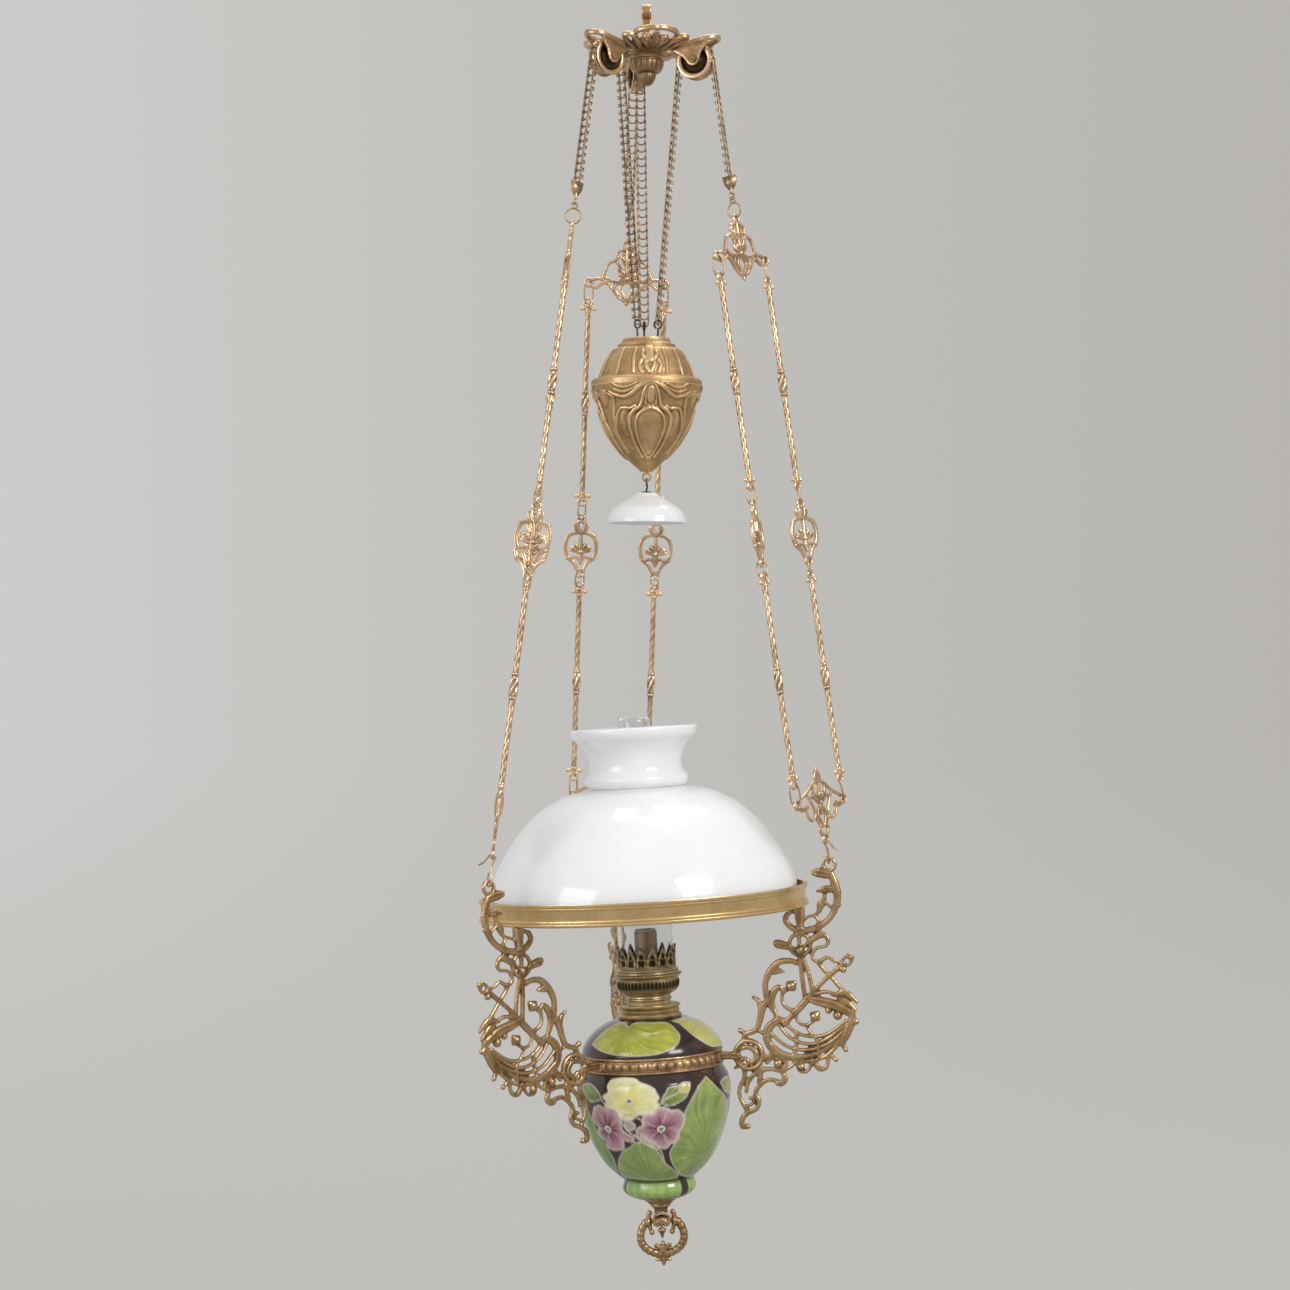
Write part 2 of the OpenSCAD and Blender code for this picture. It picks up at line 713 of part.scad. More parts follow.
module rod(a, b) {
    difference() {
        union() {
            translate([0, 0, a + 3.4])
                cylinder(h = b - a - 6.8, r = rod_r);
            for (z = [a, b]) {
                eye_ring_y([0, 0, z], eye_hole, eye_ring, 2.8);
            }
            for (z = [a + 5.6, b - 5.6]) {
                translate([-6, 0, z])
                    rotate([0, 90, 0])
                        cylinder(h = 12, r = 1.7);
                for (s = [-1, 1]) {
                    translate([s * 6.2, 0, z])
                        sphere(r = 2.3);
                }
            }
            translate([0, 0, (a + b) / 2])
                sphere(r = rod_r + 1.7);
            for (s = [-1, 1]) {
                translate([0, 0, (a + b) / 2 + s * 6 - 1])
                    cylinder(h = 2, r = rod_r + 0.8);
            }
        }
        for (z = [a, b]) {
            translate([0, 10, z])
                rotate([90, 0, 0])
                    cylinder(h = 20, r = eye_hole);
        }
    }
}
module lower_rods(i) {
    color(gilt)
        up_leg(i)
            rotate(yoke_turn[i])
                for (s = [-1, 1]) {
                    translate([s * rod_half_gap, 0, 0])
                        rod(low_rod_a, low_rod_b);
                }
}
module upper_rods(i) {
    color(gilt)
        up_leg(i)
            rotate(yoke_turn[i])
                for (s = [-1, 1]) {
                    translate([s * rod_half_gap, 0, 0])
                        rod(up_rod_a, up_rod_b);
                }
}
module medallion_half() {
    h = medallion_h / 2;
    stroke([[8, 10], [13, 7], [14.8, 1], [14.2, -7], [10, -13.5], [4, -18], [3, -h + 2]], [3, 3.4, 3.6,
        3.4, 3, 3]);
    stroke([[10, -13.5], [5, -9], [1, -12], [0, -18]], [2.6]);
    stroke([[8.5, 10.5], [4, 13], [0, 12]], [2.6, 3, 4]);
    stroke([[0, 12], [4, 16], [7.5, 19], [5, 21.5], [3.5, h - 3]], [3.4, 3, 3.4, 3, 2.6]);
    stroke([[0, -1], [9, 3.5]], [9, 5]);
    stroke([[0, -1], [10, -4]], [9, 5]);
    stroke([[10, 0], [14, 0]], [4, 3]);
}
module medallions(i) {
    h = medallion_h / 2;
    color(gilt)
        up_leg(i)
            rotate(yoke_turn[i])
                for (s = [-1, 1]) {
                    translate([s * rod_half_gap, 0, medal_a + h])
                        upright(casting_t) {
                            difference() {
                                union() {
                                    both()
                                        medallion_half();
                                    stroke([[0, 12], [0, 4], [0, -10], [0, -18]], [4, 11, 7, 4]);
                                }
                                dot([0, h], eye_hole + 0.2);
                                dot([0, -h], eye_hole + 0.2);
                            }
                            hoop([0, h], (eye_ring + eye_hole) / 2, eye_ring - eye_hole);
                            hoop([0, -h], (eye_ring + eye_hole) / 2, eye_ring - eye_hole);
                        }
                }
}

ledge_r = min(shade_r - 6, ring_r - 8);
module shade_ring() {
    color(gilt)
        hung()
            spun([
                [ledge_r, ring_bot], [ring_r + 2, ring_bot], [ring_r + 3, ring_bot + 1.5],
                    [ring_r + 2, ring_bot + 3],
                [ring_r + 1.4, ring_bot + 5], [ring_r, ring_bot + 6], [ring_r, ring_top - 5], [ring_r + 2,
                    ring_top - 3.5],
                [ring_r + 2.6, ring_top - 2], [ring_r + 2, ring_top], [ring_r - ring_wall, ring_top],
                [ring_r - ring_wall, shade_foot], [ledge_r, shade_foot]]);
}

// an arm's drawing, with its band, ring and eye at 70.5, 157 and 188.5, fitted to the real ones
arm_root = band_in_r + 7;
arm_rest = ring_r - 1;
module arm_fit() {
    translate([arm_rest, 0])
        scale([(arm_rest - arm_root) / 86.5, 1])
            translate([-157, 0])
                intersection() {
                    children();
                    translate([0, -200])
                        square([157, 600]);
                }
    translate([arm_rest, 0])
        scale([(arm_reach - arm_rest) / 31.5, 1])
            translate([-157, 0])
                intersection() {
                    children();
                    translate([157 - e, -200])
                        square([200, 600]);
                }
}
// upper part of an arm: beast head, neck, cup scroll and pennant
module arm_top() {
    stroke([[173, 181], [178, 181], [184.5, 179.5], [190, 178]], [5.2, 8.6, 8.1, 5.7]);
    stroke([
        [190, 179], [193, 170.5], [195, 159], [192.5, 147.5], [186, 137.5], [177, 131], [167, 127.5],
            [156, 127],
        [147.5, 130.5], [142.5, 137], [145, 143]], [5.7, 7.1, 6.7, 5.7, 5.2, 5.5, 5.7, 5.7, 5.2, 4.8, 4.3]);
    hoop([151.5, 137], 8, 4.2);
    stroke([[191.5, 165], [183, 165], [175, 163.5]], [5.7, 6.7, 2]);
    stroke([[183, 164], [182, 156.5], [178, 150], [174.5, 142.5], [165.5, 139.5], [159, 136]], [2.6, 3.8,
        7, 3, 2.6, 4]);
    stroke([[190.5, 146.5], [185, 150.5], [181, 154]], [2.9, 2.9, 2.6]);
    stroke([[171.5, 140], [175, 136], [173.5, 130]], [2.7, 3, 2.9]);
    polygon([[152, cup_v], [162, cup_v], [161.4, 140], [159.5, 128], [154.4, 128], [152.6, 140]]);
    hoop([155.5, 113.5], 10.3, 4);
    stroke([[155.5, 126], [155, 116], [155, 102]], [4.6, 3.6, 4]);
    dot([155, 108], 4.6);
    stroke([[134.5, 114.5], [140.5, 113], [148, 110], [155, 108.5]], [8.1, 6.9, 4, 3.8]);
    stroke([[155, 108], [160, 112], [165, 116]], [3.2]);
    stroke([
        [175.5, 131], [175.5, 124], [180.5, 122], [183.5, 116.5], [180.5, 111.5], [172, 110], [167.5, 105],
        [168, 99.5], [174, 97], [182, 101], [188.5, 97], [197, 96]],
        [3.8, 4.3, 4.3, 3.8, 3, 3, 3.3, 3.6, 3.8, 3.2, 2.9, 2.9]);
    stroke([[165, 116], [173, 121], [179.5, 122]], [5, 5.7, 4.3]);
}
// masts, crossed spars, acanthus and buds of an arm
module arm_middle() {
    stroke([[155, 104], [156, 81.5], [158, 60]], [4.3, 4, 4]);
    stroke([[156, 105], [162.5, 86], [165.5, 66]], [4.3, 3.8, 3.8]);
    stroke([[197, 94], [181, 82], [164.5, 67], [148.5, 49]], [4.8, 4, 4, 4.4]);
    hoop([200.5, 97], 4, 3.2);
    dot([205.5, 101], 2.7);
    dot([196.5, 89], 3.4);
    stroke([[172.5, 97], [176.5, 90.5], [185.5, 80.5], [196, 68]], [4.3, 3.6, 3.4, 4]);
    stroke([
        [151, 96.5], [147, 98], [142.5, 98.5], [134.5, 97.5], [127.5, 92], [122, 84.5], [119, 76], [119.5,
            66]],
        [5, 4.6, 5, 5.7, 6.3, 5.9, 5.1, 5]);
    stroke([[129, 88.5], [134, 89], [138.5, 88.5]], [5.7, 4.8, 2]);
    stroke([[119, 67.5], [122, 58], [130, 44]], [5.1, 4.3, 4]);
    stroke([[120, 61.5], [114.5, 52.5], [112, 43], [107.5, 33.5], [97.5, 29.5], [94, 24]], [4.8, 6.4, 5.4,
        4.8, 4.5, 4]);
    stroke([[106.5, 64], [111, 61.5], [114.5, 53.5]], [2.1, 4.3, 6.4]);
    stroke([[97, 30], [92, 33]], [3.6, 4]);
    stroke([[130, 44], [125.5, 58], [127, 69], [133, 74], [136, 70]], [3, 3.6, 6.4, 4.3, 3]);
    stroke([[109.5, 36.5], [112, 31], [121, 32]], [3, 2.8, 3]);
    stroke([[136, 71], [135, 60], [140, 53.5], [148.5, 51.5], [154, 56]], [3.2, 3.2, 3.6, 3.6, 4.6]);
    stroke([[136.5, 69], [144, 74]], [4.3]);
    dot([144.5, 74.5], 5.2);
    stroke([[136.5, 39.5], [142.5, 45], [154, 56], [162, 64.5]], [6.6, 4.7, 6.4, 5.4]);
}
// the ship of an arm: blade, ribs, keel, prow and waves
module arm_ship() {
    stroke([[160, 62.5], [172, 59.5], [188, 55], [202, 46.5]], [4.8, 8.6, 9.1, 4.6]);
    stroke([[166, 66], [179, 68.5], [189.5, 63.5], [202, 48.5]], [2.8, 3.6, 2.8, 3.2]);
    stroke([[147, 48], [150.5, 39.5], [158, 37.5], [164, 41]], [3, 2.8, 3, 3.6]);
    dot([166.5, 45.5], 5);
    stroke([[158, 37.5], [159.5, 32.5], [164.5, 26.5]], [2.6]);
    stroke([[139, 41], [130, 42.5], [120.5, 35.5], [118, 25.5], [121.5, 16], [129, 9.5]], [3.9, 6, 7.5,
        7.5, 6, 4.9]);
    stroke([[136.5, 39.5], [148, 30], [164.5, 26.5], [180, 30], [196, 41]], [3.2]);
    stroke([[128.5, 40], [141, 25.5], [158.5, 19.5], [176.5, 24], [197, 38]], [3.2]);
    stroke([[121, 31], [136.5, 18], [154, 14], [171.5, 17], [187.5, 26], [199, 38]], [3.2]);
    stroke([[121.5, 19], [133.5, 10.5], [149, 7.5], [165.5, 10], [181.5, 18.5], [194, 29]], [4.7, 4.7,
        4.5, 3.9, 3.4, 3.2]);
    stroke([[129, 9.5], [140, 5.5], [155.5, 3], [171, 6], [184.5, 15.5], [194, 28]], [4.3, 3.2, 3.2, 3.2,
        3.4, 4.3]);
    stroke([[203, 48], [201.5, 39], [196.5, 28], [192, 19.5], [194.5, 14]], [5.4, 6.6, 6.4, 4.3, 4]);
    dot([206, 40], 3.2);
    stroke([[147.5, 31], [146.5, 19.5], [143, 6]], [3.6, 3.2, 3.6]);
    stroke([[165.5, 26.5], [168, 19.5], [168, 6]], [3.2, 3.6, 3.2]);
    dot([180, 51], 3.6);
    dot([188.5, 46], 4.6);
    stroke([[185, 65], [195.5, 67.5], [201.5, 64.5], [208, 58]], [2.8, 5.8, 5.4, 2.8]);
    stroke([[192, 65], [200, 57], [206, 51]], [2.4, 4.3, 2.8]);
    stroke([[116.5, 2], [122, 6.5], [129, 7.5], [135.5, 1], [129, -5]], [3, 3.2, 4.3, 3.2, 3]);
    dot([127.5, 1.5], 4.6);
    stroke([[110, -4], [121.5, -4], [130.5, -5.5], [139.5, -2], [147, 5]], [3.9, 3.9, 3.6, 3.2, 3.2]);
    dot([150, -2], 3.6);
    stroke([[146, 4], [148, -5.5], [156, -6], [162, 4]], [2.8, 2.8, 3, 3]);
    stroke([[162, 4], [168, -4], [175, -2], [178, 8], [184, 5]], [4.3, 4.7, 3.6, 3.2, 3.2]);
}
// scrolls of an arm beside and below the vase band
module arm_tail() {
    hoop([99, 10], 13.4, 5.1);
    stroke([[87.5, 4], [88, 13], [94, 16.5], [102.5, 16], [107, 8], [102, 3]], [4.3, 4, 3.6, 4.3, 5.4,
        4.3]);
    hoop([94.5, 3], 3.6, 3.9);
    stroke([[101.5, 4], [102, -3], [107, -4]], [3.2]);
    stroke([[87, 9], [80.5, 9.5], [70.5, 9.5]], [7.5, 6.4, 7.5]);
    stroke([[90, 0], [84.5, -2.5]], [4, 2.8]);
    stroke([[128, -5], [116, -4], [104.5, -8], [96.5, -16.5], [94.5, -25]], [3.6, 3.9, 4.1, 3.9, 3.6]);
    stroke([[130.5, -5.5], [133.5, -13], [129.5, -18], [125.5, -17.5]], [3.6, 5.4, 4.7, 3.2]);
    stroke([
        [130, -16.5], [117.5, -14], [108.5, -19], [103.5, -26.5], [106.5, -34], [103.5, -41.5], [95.5,
            -45], [89, -50.5],
        [88.5, -58], [92.5, -58.5]], [3.9, 3.9, 3.9, 4.3, 4.3, 3.9, 4.3, 4.7, 4.7, 3.9]);
    stroke([[93, -2], [93.5, -11.5], [88, -21.5], [88, -31], [94, -43]], [3.6, 4.3, 3.6, 3.6, 3.9]);
    stroke([[93, -39.5], [100.5, -36], [101, -31], [97.5, -31.5]], [2.8, 2.8, 2.8, 3.2]);
    stroke([[109, -2], [109, -11], [107, -16]], [4.7, 4.7, 3.2]);
    stroke([[112, 6], [118, 8], [124, 12]], [5, 4, 5]);
}
module arm_at(i, t) {
    hung()
        rotate(leg_az[i])
            translate([0, 0, arm_zero])
                upright(t)
                    children();
}
module arm(i) {
    color(gilt) {
        arm_at(i, arm_t)
            difference() {
                arm_fit() {
                    arm_top();
                    arm_middle();
                    arm_ship();
                    arm_tail();
                }
                dot([arm_reach, arm_eye_v], 7);
            }
        arm_at(i, min(arm_t, 4))
            hoop([arm_reach, arm_eye_v], 5.9, 4.4);
    }
}

module vase_band() {
    h = band_h;
    color(gilt)
        hung() {
            spun([
                [band_in_r, band_bot], [band_in_r + 5, band_bot], [band_in_r + 6.4, band_bot + 2],
                [band_in_r + 4, band_bot + 4], [band_in_r + 4, band_bot + h / 2 - 2], [band_in_r + 5.4,
                    band_bot + h / 2],
                [band_in_r + 4, band_bot + h / 2 + 2], [band_in_r + 4, band_top - 3], [band_in_r + 6,
                    band_top - 1.5],
                [band_in_r + 5, band_top], [band_in_r, band_top]]);
            for (i = [0:2]) {
                rotate(leg_az[i])
                    translate([band_in_r + 2, -6, arm_zero + 4.5])
                        cube([6.5, 12, 8]);
            }
        }
}
bowl_line = [
    [0.948, 0.04], [1, 0.1075], [1, 0.2231], [0.974, 0.3387], [0.935, 0.4127],
    [0.869, 0.5283], [0.79, 0.6254], [0.692, 0.7161], [0.566, 0.7919], [0.473, 0.8372]];
bowl_floor = band_bot - 0.778 * bowl_h;
washer_r = 13;
module vase_bowl() {
    foot_r = bowl_r * 0.48;
    neck_r = band_in_r - set_gap;
    color(glaze)
        hung()
            difference() {
                spun(concat(
                    [[neck_r - 4, band_top - 6], [neck_r, band_top - 6], [neck_r, band_bot], [bowl_r - 6.8,
                        band_bot]],
                    [for (k = [0:9]) [bowl_line[k][0] * bowl_r, band_bot - bowl_line[k][1] * bowl_h]],
                    [[foot_r - 1.5, band_bot - 0.8539 * bowl_h], [foot_r, band_bot - 0.889 * bowl_h],
                        [foot_r, band_bot - 0.926 * bowl_h], [foot_r * 0.86, band_bot - 0.9676 * bowl_h],
                        [foot_r * 0.55, bowl_bot], [0, bowl_bot], [0, bowl_floor], [washer_r + 1, bowl_floor],
                        [bowl_r * 0.38, band_bot - 0.7688 * bowl_h]],
                    [for (k = [7:-1:2]) [bowl_line[k][0] * bowl_r - bowl_wall,
                        band_bot - bowl_line[k][1] * bowl_h + 2]],
                    [[neck_r - 4, band_bot - 4]]));
                translate([0, 0, bowl_bot - 1])
                    cylinder(h = bowl_h, r = 3 + set_gap);
            }
}
module foot_bolt() {
    color(gilt)
        hung() {
            translate([0, 0, bowl_bot - 9])
                cylinder(h = bowl_floor - bowl_bot + 14, r = 3);
            translate([0, 0, bowl_floor])
                cylinder(h = 3, r = washer_r);
        }
}
module foot_cap() {
    color(gilt)
        hung()
            difference() {
                spun([
                    [0, bowl_bot], [14, bowl_bot], [15.2, bowl_bot - 1.5], [14, bowl_bot - 3], [11,
                        bowl_bot - 4],
                    [10, bowl_bot - 5.6], [0, bowl_bot - 5.6]]);
                translate([0, 0, bowl_bot - 20])
                    cylinder(h = 40, r = 3 + set_gap);
            }
}
pin_r = 1.9;
pin_x = pull_r * sin(42);
module handle_mount() {
    z0 = bowl_bot - 5.6;
    half = pin_x - pull_section_r - 0.6;
    color(gilt)
        hung()
            difference() {
                union() {
                    spun([
                        [0, z0], [9, z0], [10, z0 - 2], [7, z0 - 4], [6, z0 - 7], [6.6, z0 - 9], [0,
                            z0 - 9]]);
                    translate([-half, -6, handle_z - 4])
                        cube([2 * half, 12, z0 - 6 - handle_z + 4]);
                    translate([0, 6, handle_z])
                        rotate([90, 0, 0])
                            cylinder(h = 12, r = min(half, 9));
                }
                translate([0, 0, z0 - 4])
                    cylinder(h = 10, r = 3 + set_gap);
                translate([-40, 0, handle_z])
                    rotate([0, 90, 0])
                        cylinder(h = 80, r = pin_r + run_gap);
            }
}
module pull_ring() {
    z = handle_z - pull_r * cos(42);
    color(gilt)
        hung() {
            translate([0, 0, z])
                rotate([90, 0, 0])
                    rotate(132)
                        rotate_extrude(angle = 276)
                            translate([pull_r, 0])
                                circle(r = pull_section_r);
            for (s = [-1, 1]) {
                translate([s * pin_x, 0, handle_z])
                    sphere(r = pull_section_r + 0.4);
            }
            translate([-pin_x, 0, handle_z])
                rotate([0, 90, 0])
                    cylinder(h = 2 * pin_x, r = pin_r);
            translate([0, 0, z - pull_r - 3])
                scale([1, 0.55, 1])
                    sphere(r = 5.4);
        }
}

// shade outline from the rim down: share of the radius, share of the height
shade_line = [
    [0.408, 1], [0.40, 0.978], [0.33, 0.93], [0.296, 0.83], [0.308, 0.76], [0.32, 0.723], [0.308, 0.69],
    [0.29, 0.672], [0.463, 0.645], [0.585, 0.595], [0.662, 0.552], [0.743, 0.487], [0.81, 0.421], [0.868,
        0.35],
    [0.926, 0.268], [0.971, 0.181], [0.995, 0.094], [1, 0]];
module shade() {
    n = len(shade_line) - 1;
    color(opal)
        hung()
            spun(concat(
                [for (k = [0:n]) [shade_line[k][0] * shade_r, shade_foot + shade_line[k][1] * shade_h]],
                [for (k = [n:-1:0]) [
                    shade_line[k][0] * shade_r - shade_wall,
                    shade_foot + shade_line[k][1] * shade_h - (k == n || k < 7 ? 0 : 2.4)]]));
}
dome_r = band_in_r + 5.6;
tank_r = band_in_r - 5.5;
module font_dome() {
    h = dome_top - band_top;
    color(glaze)
        hung()
            spun([
                [20, dome_top], [dome_r * 0.457, dome_top], [dome_r * 0.6, dome_top - h * 0.085],
                [dome_r * 0.743, dome_top - h * 0.25], [dome_r * 0.85, dome_top - h * 0.43],
                [dome_r * 0.928, dome_top - h * 0.62], [dome_r * 0.98, dome_top - h * 0.8], [dome_r,
                    dome_top - h * 0.94],
                [dome_r, band_top], [tank_r + set_gap, band_top], [tank_r + set_gap, band_top + 5],
                [dome_r * 0.86, dome_top - h * 0.62], [dome_r * 0.79, dome_top - h * 0.45],
                [dome_r * 0.68, dome_top - h * 0.29], [dome_r * 0.55, dome_top - h * 0.17], [20,
                    dome_top - 4]]);
}
module oil_tank() {
    color(gilt)
        hung()
            spun([
                [0, band_top - tank_h], [tank_r - 4, band_top - tank_h], [tank_r, band_top - tank_h + 4],
                [tank_r, band_top + 4], [tank_r - 1.2, band_top + 4], [tank_r - 1.2,
                    band_top - tank_h + 4.5],
                [tank_r - 4.5, band_top - tank_h + 1.2], [0, band_top - tank_h + 1.2]]);
}
plug_r = 16.8;
module font_collar() {
    color(gilt)
        hung()
            spun([
                [plug_r + set_gap, dome_top], [30.5, dome_top], [30.5, dome_top + 3], [28.4,
                    dome_top + 4.5],
                [28.4, collar_top - 3], [29.6, collar_top - 2], [29.6, collar_top], [plug_r + set_gap,
                    collar_top]]);
}
neck_r = 21;
basket_r = 30.4;
deck_r = 33;
module burner_base() {
    z_neck = collar_top + 10.6;
    color(gilt)
        hung()
            difference() {
                spun([
                    [plug_r - 1.2, collar_top - 9], [plug_r, collar_top - 9], [plug_r, collar_top],
                        [neck_r, collar_top],
                    [neck_r, z_neck], [basket_r - 2, z_neck], [basket_r, z_neck + 3], [basket_r,
                        flange_top - 8],
                    [deck_r, flange_top - 6], [deck_r, flange_top], [wick_tube_r + 3, flange_top],
                    [wick_tube_r + 3, flange_top - 1.2], [basket_r - 1.4, flange_top - 7],
                        [basket_r - 1.4, z_neck + 4],
                    [neck_r - 1.2, z_neck + 1.2], [neck_r - 1.2, collar_top + 1.2], [plug_r - 1.2,
                        collar_top + 1.2]]);
                for (k = [0:11]) {
                    rotate(15 + k * 30)
                        translate([basket_r - 5, 0, (z_neck + flange_top) / 2 - 2])
                            rotate([0, 90, 0])
                                cylinder(h = 10, r = 1.6);
                }
                translate([0, neck_r - 8, collar_top + 5.4])
                    rotate([-90, 0, 0])
                        cylinder(h = 20, r = 1.5 + run_gap);
            }
}
module gallery_crown() {
    r0 = chimney_r + 0.5;
    color(gilt)
        hung()
            difference() {
                spun([
                    [r0, flange_top], [r0 + 3, flange_top], [r0 + 3, flange_top + 1.2], [r0 + 1,
                        flange_top + 2],
                    [r0 + 1, flange_top + 12], [r0 + 2, flange_top + 20], [r0 + 3, flange_top + 25],
                    [r0 + 2, flange_top + 25], [r0 + 1, flange_top + 20], [r0, flange_top + 12]]);
                for (k = [0:9]) {
                    rotate(k * 36)
                        translate([r0 - 5, -3.2, flange_top + 11])
                            cube([12, 6.4, 20]);
                }
                for (k = [0:9]) {
                    rotate(18 + k * 36)
                        translate([r0 - 5, 0, flange_top + 7])
                            rotate([0, 90, 0])
                                cylinder(h = 12, r = 2);
                }
            }
}
wick_top = flange_top + 37.5;
module wick_tube() {
    color(gilt)
        hung()
            spun([
                [wick_tube_r - 1, collar_top - 9], [plug_r - 1.2 - set_gap / 2, collar_top - 9],
                [plug_r - 1.2 - set_gap / 2, collar_top - 7],
                [wick_tube_r, collar_top - 7], [wick_tube_r, wick_top], [wick_tube_r - 1, wick_top]]);
}
module wick() {
    color(cotton)
        hung()
            spun([
                [wick_tube_r - 3, collar_top - 40], [wick_tube_r - 1 - set_gap, collar_top - 40],
                [wick_tube_r - 1 - set_gap, wick_top + 2], [wick_tube_r - 3, wick_top + 2]]);
}
module wick_knob() {
    z = collar_top + 5.4;
    color(gilt)
        hung()
            translate([0, 0, z])
                rotate([-90, 0, 0]) {
                    translate([0, 0, wick_tube_r + 1])
                        cylinder(h = 34, r = 1.5);
                    translate([0, 0, wick_tube_r + 0.6])
                        cylinder(h = 2.4, r = 3.4);
                    translate([0, 0, wick_tube_r + 28])
                        cylinder(h = 4, r = 3);
                    difference() {
                        translate([0, 0, wick_tube_r + 32])
                            cylinder(h = 3, r = knob_r);
                        for (k = [0:11]) {
                            rotate(k * 30)
                                translate([knob_r, 0, wick_tube_r + 30])
                                    cylinder(h = 8, r = 0.9);
                        }
                    }
                }
}
chimney_line = [
    [1, 0], [1.02, 0.08], [1.02, 0.18], [0.98, 0.225], [0.8, 0.275], [0.7, 0.31], [0.655, 0.36], [0.625,
        0.5],
    [0.6, 0.75], [0.585, 1]];
module chimney() {
    n = len(chimney_line) - 1;
    color(clear)
        hung()
            spun(concat(
                [for (k = [0:n]) [min(chimney_line[k][0] * chimney_r, chimney_r + 0.4),
                    flange_top + chimney_line[k][1] * chimney_h]],
                [for (k = [n:-1:0]) [
                    min(chimney_line[k][0] * chimney_r, chimney_r + 0.4) - chimney_wall,
                    flange_top + chimney_line[k][1] * chimney_h]]));
}

hanging_loop();
corona_casting();
corona_drop();
pulley_axles();
pulley_chains();
for (i = [0:2]) {
    pulley(i);
    chain_outer(i);
    chain_inner(i);
    leg_links(i);
    upper_yoke(i);
    upper_rods(i);
    medallions(i);
    lower_rods(i);
    lower_yoke(i);
    arm(i);
}
shade_ring();
vase_band();
vase_bowl();
foot_bolt();
foot_cap();
handle_mount();
pull_ring();
shade();
font_dome();
oil_tank();
font_collar();
burner_base();
gallery_crown();
wick_tube();
wick();
wick_knob();
chimney();
weight_lid();
weight_bowl();
weight_ballast();
weight_hooks();
weight_eye();
bell_hook();
bell_glass();
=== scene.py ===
"""Looks of a hanging paraffin lamp with a counterweight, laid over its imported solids."""

from functools import wraps

import bpy
import numpy as np
from bpy.props import FloatProperty, FloatVectorProperty, PointerProperty
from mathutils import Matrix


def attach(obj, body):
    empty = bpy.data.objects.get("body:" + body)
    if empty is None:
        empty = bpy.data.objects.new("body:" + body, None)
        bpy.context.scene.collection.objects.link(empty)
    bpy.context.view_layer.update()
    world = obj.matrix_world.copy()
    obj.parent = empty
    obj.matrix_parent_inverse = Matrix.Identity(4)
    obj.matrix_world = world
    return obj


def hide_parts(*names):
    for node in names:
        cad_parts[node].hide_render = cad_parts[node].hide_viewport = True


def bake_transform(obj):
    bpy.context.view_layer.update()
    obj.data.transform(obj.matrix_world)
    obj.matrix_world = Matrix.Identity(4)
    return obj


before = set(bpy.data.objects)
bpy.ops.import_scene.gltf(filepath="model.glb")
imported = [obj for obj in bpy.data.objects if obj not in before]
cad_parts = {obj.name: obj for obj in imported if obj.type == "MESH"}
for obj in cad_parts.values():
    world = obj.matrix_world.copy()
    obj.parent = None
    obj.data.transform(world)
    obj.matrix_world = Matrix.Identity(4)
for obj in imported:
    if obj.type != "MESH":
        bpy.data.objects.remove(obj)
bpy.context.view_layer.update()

bl_info = {
    "name": "Hanging oil lamp",
    "version": (1, 0, 0),
    "blender": (4, 5, 0),
    "location": "View3D > Sidebar > Lamp",
    "description": "Builds the visible surfaces of a hanging oil lamp on its solids",
    "category": "Object",
}

MM = 0.001
# The least radius of a turned profile: its points on the axis stand this far off.
AXIS = 0.05
LEGS = ("back", "left", "right")
AZIMUTH = np.radians([101.0, 221.0, 341.0])
YOKE_TURN = np.radians([-11.0, -38.0, -20.0])
TILT = np.radians(3.4)
MID_Z = -908.0
PULLEY_R, PULLEY_Z, PITCH_R = 50.0, -51.0, 16.5
EYE_R, EYE_Z = 187.0, -828.6
CHAIN_SLOPE = np.arctan2(EYE_R - PULLEY_R - PITCH_R, PULLEY_Z - EYE_Z)
CHAIN_PITCH = 7.3
HOOK_R, HOOK_Z = 11.6, -302.0
BAND_R, BAND_LOW = 62.0, -1016.5
ROD_GAP = 38.0
ACROSS, DEEP, UPRIGHT = (1.0, 0.0, 0.0), (0.0, 1.0, 0.0), (0.0, 0.0, 1.0)
# Heights along a leg above its arm's eye; a pair holds the two ends of a piece.
LEVEL = {"hook": 22.0, "low_yoke": 57.0, "low_rod": (77.0, 274.0), "medal": (287.0, 343.0),
         "up_rod": (360.0, 560.0), "up_yoke": 580.0, "join": 626.5, "loop": 636.7, "tab_eye": 640.5,
         "tab_top": 660.0}
# How much longer the hook of each leg is.
HOOK_MORE = (12.0, 9.0, 2.0)
# The half height of a casting's stem: a share of its width and a bit more, and never less than the last.
STEM_SHARE, STEM_MORE, STEM_LEAST = 0.34, 0.9, 1.1
# Passes and gain of the relief that shows a casting's wear.
CAST_WEAR = (4, 2.2)


def unit(v):
    """A vector, or each of a row of vectors, at length one."""
    return v / np.linalg.norm(v, axis=-1, keepdims=True)


def turns(count):
    """Angles of equal steps round a full turn."""
    return 2 * np.pi * np.arange(count) / count


def polar(radius, azimuth, z):
    """A point at a radius, azimuth and height about the lamp's axis."""
    return np.array([radius * np.cos(azimuth), radius * np.sin(azimuth), z])


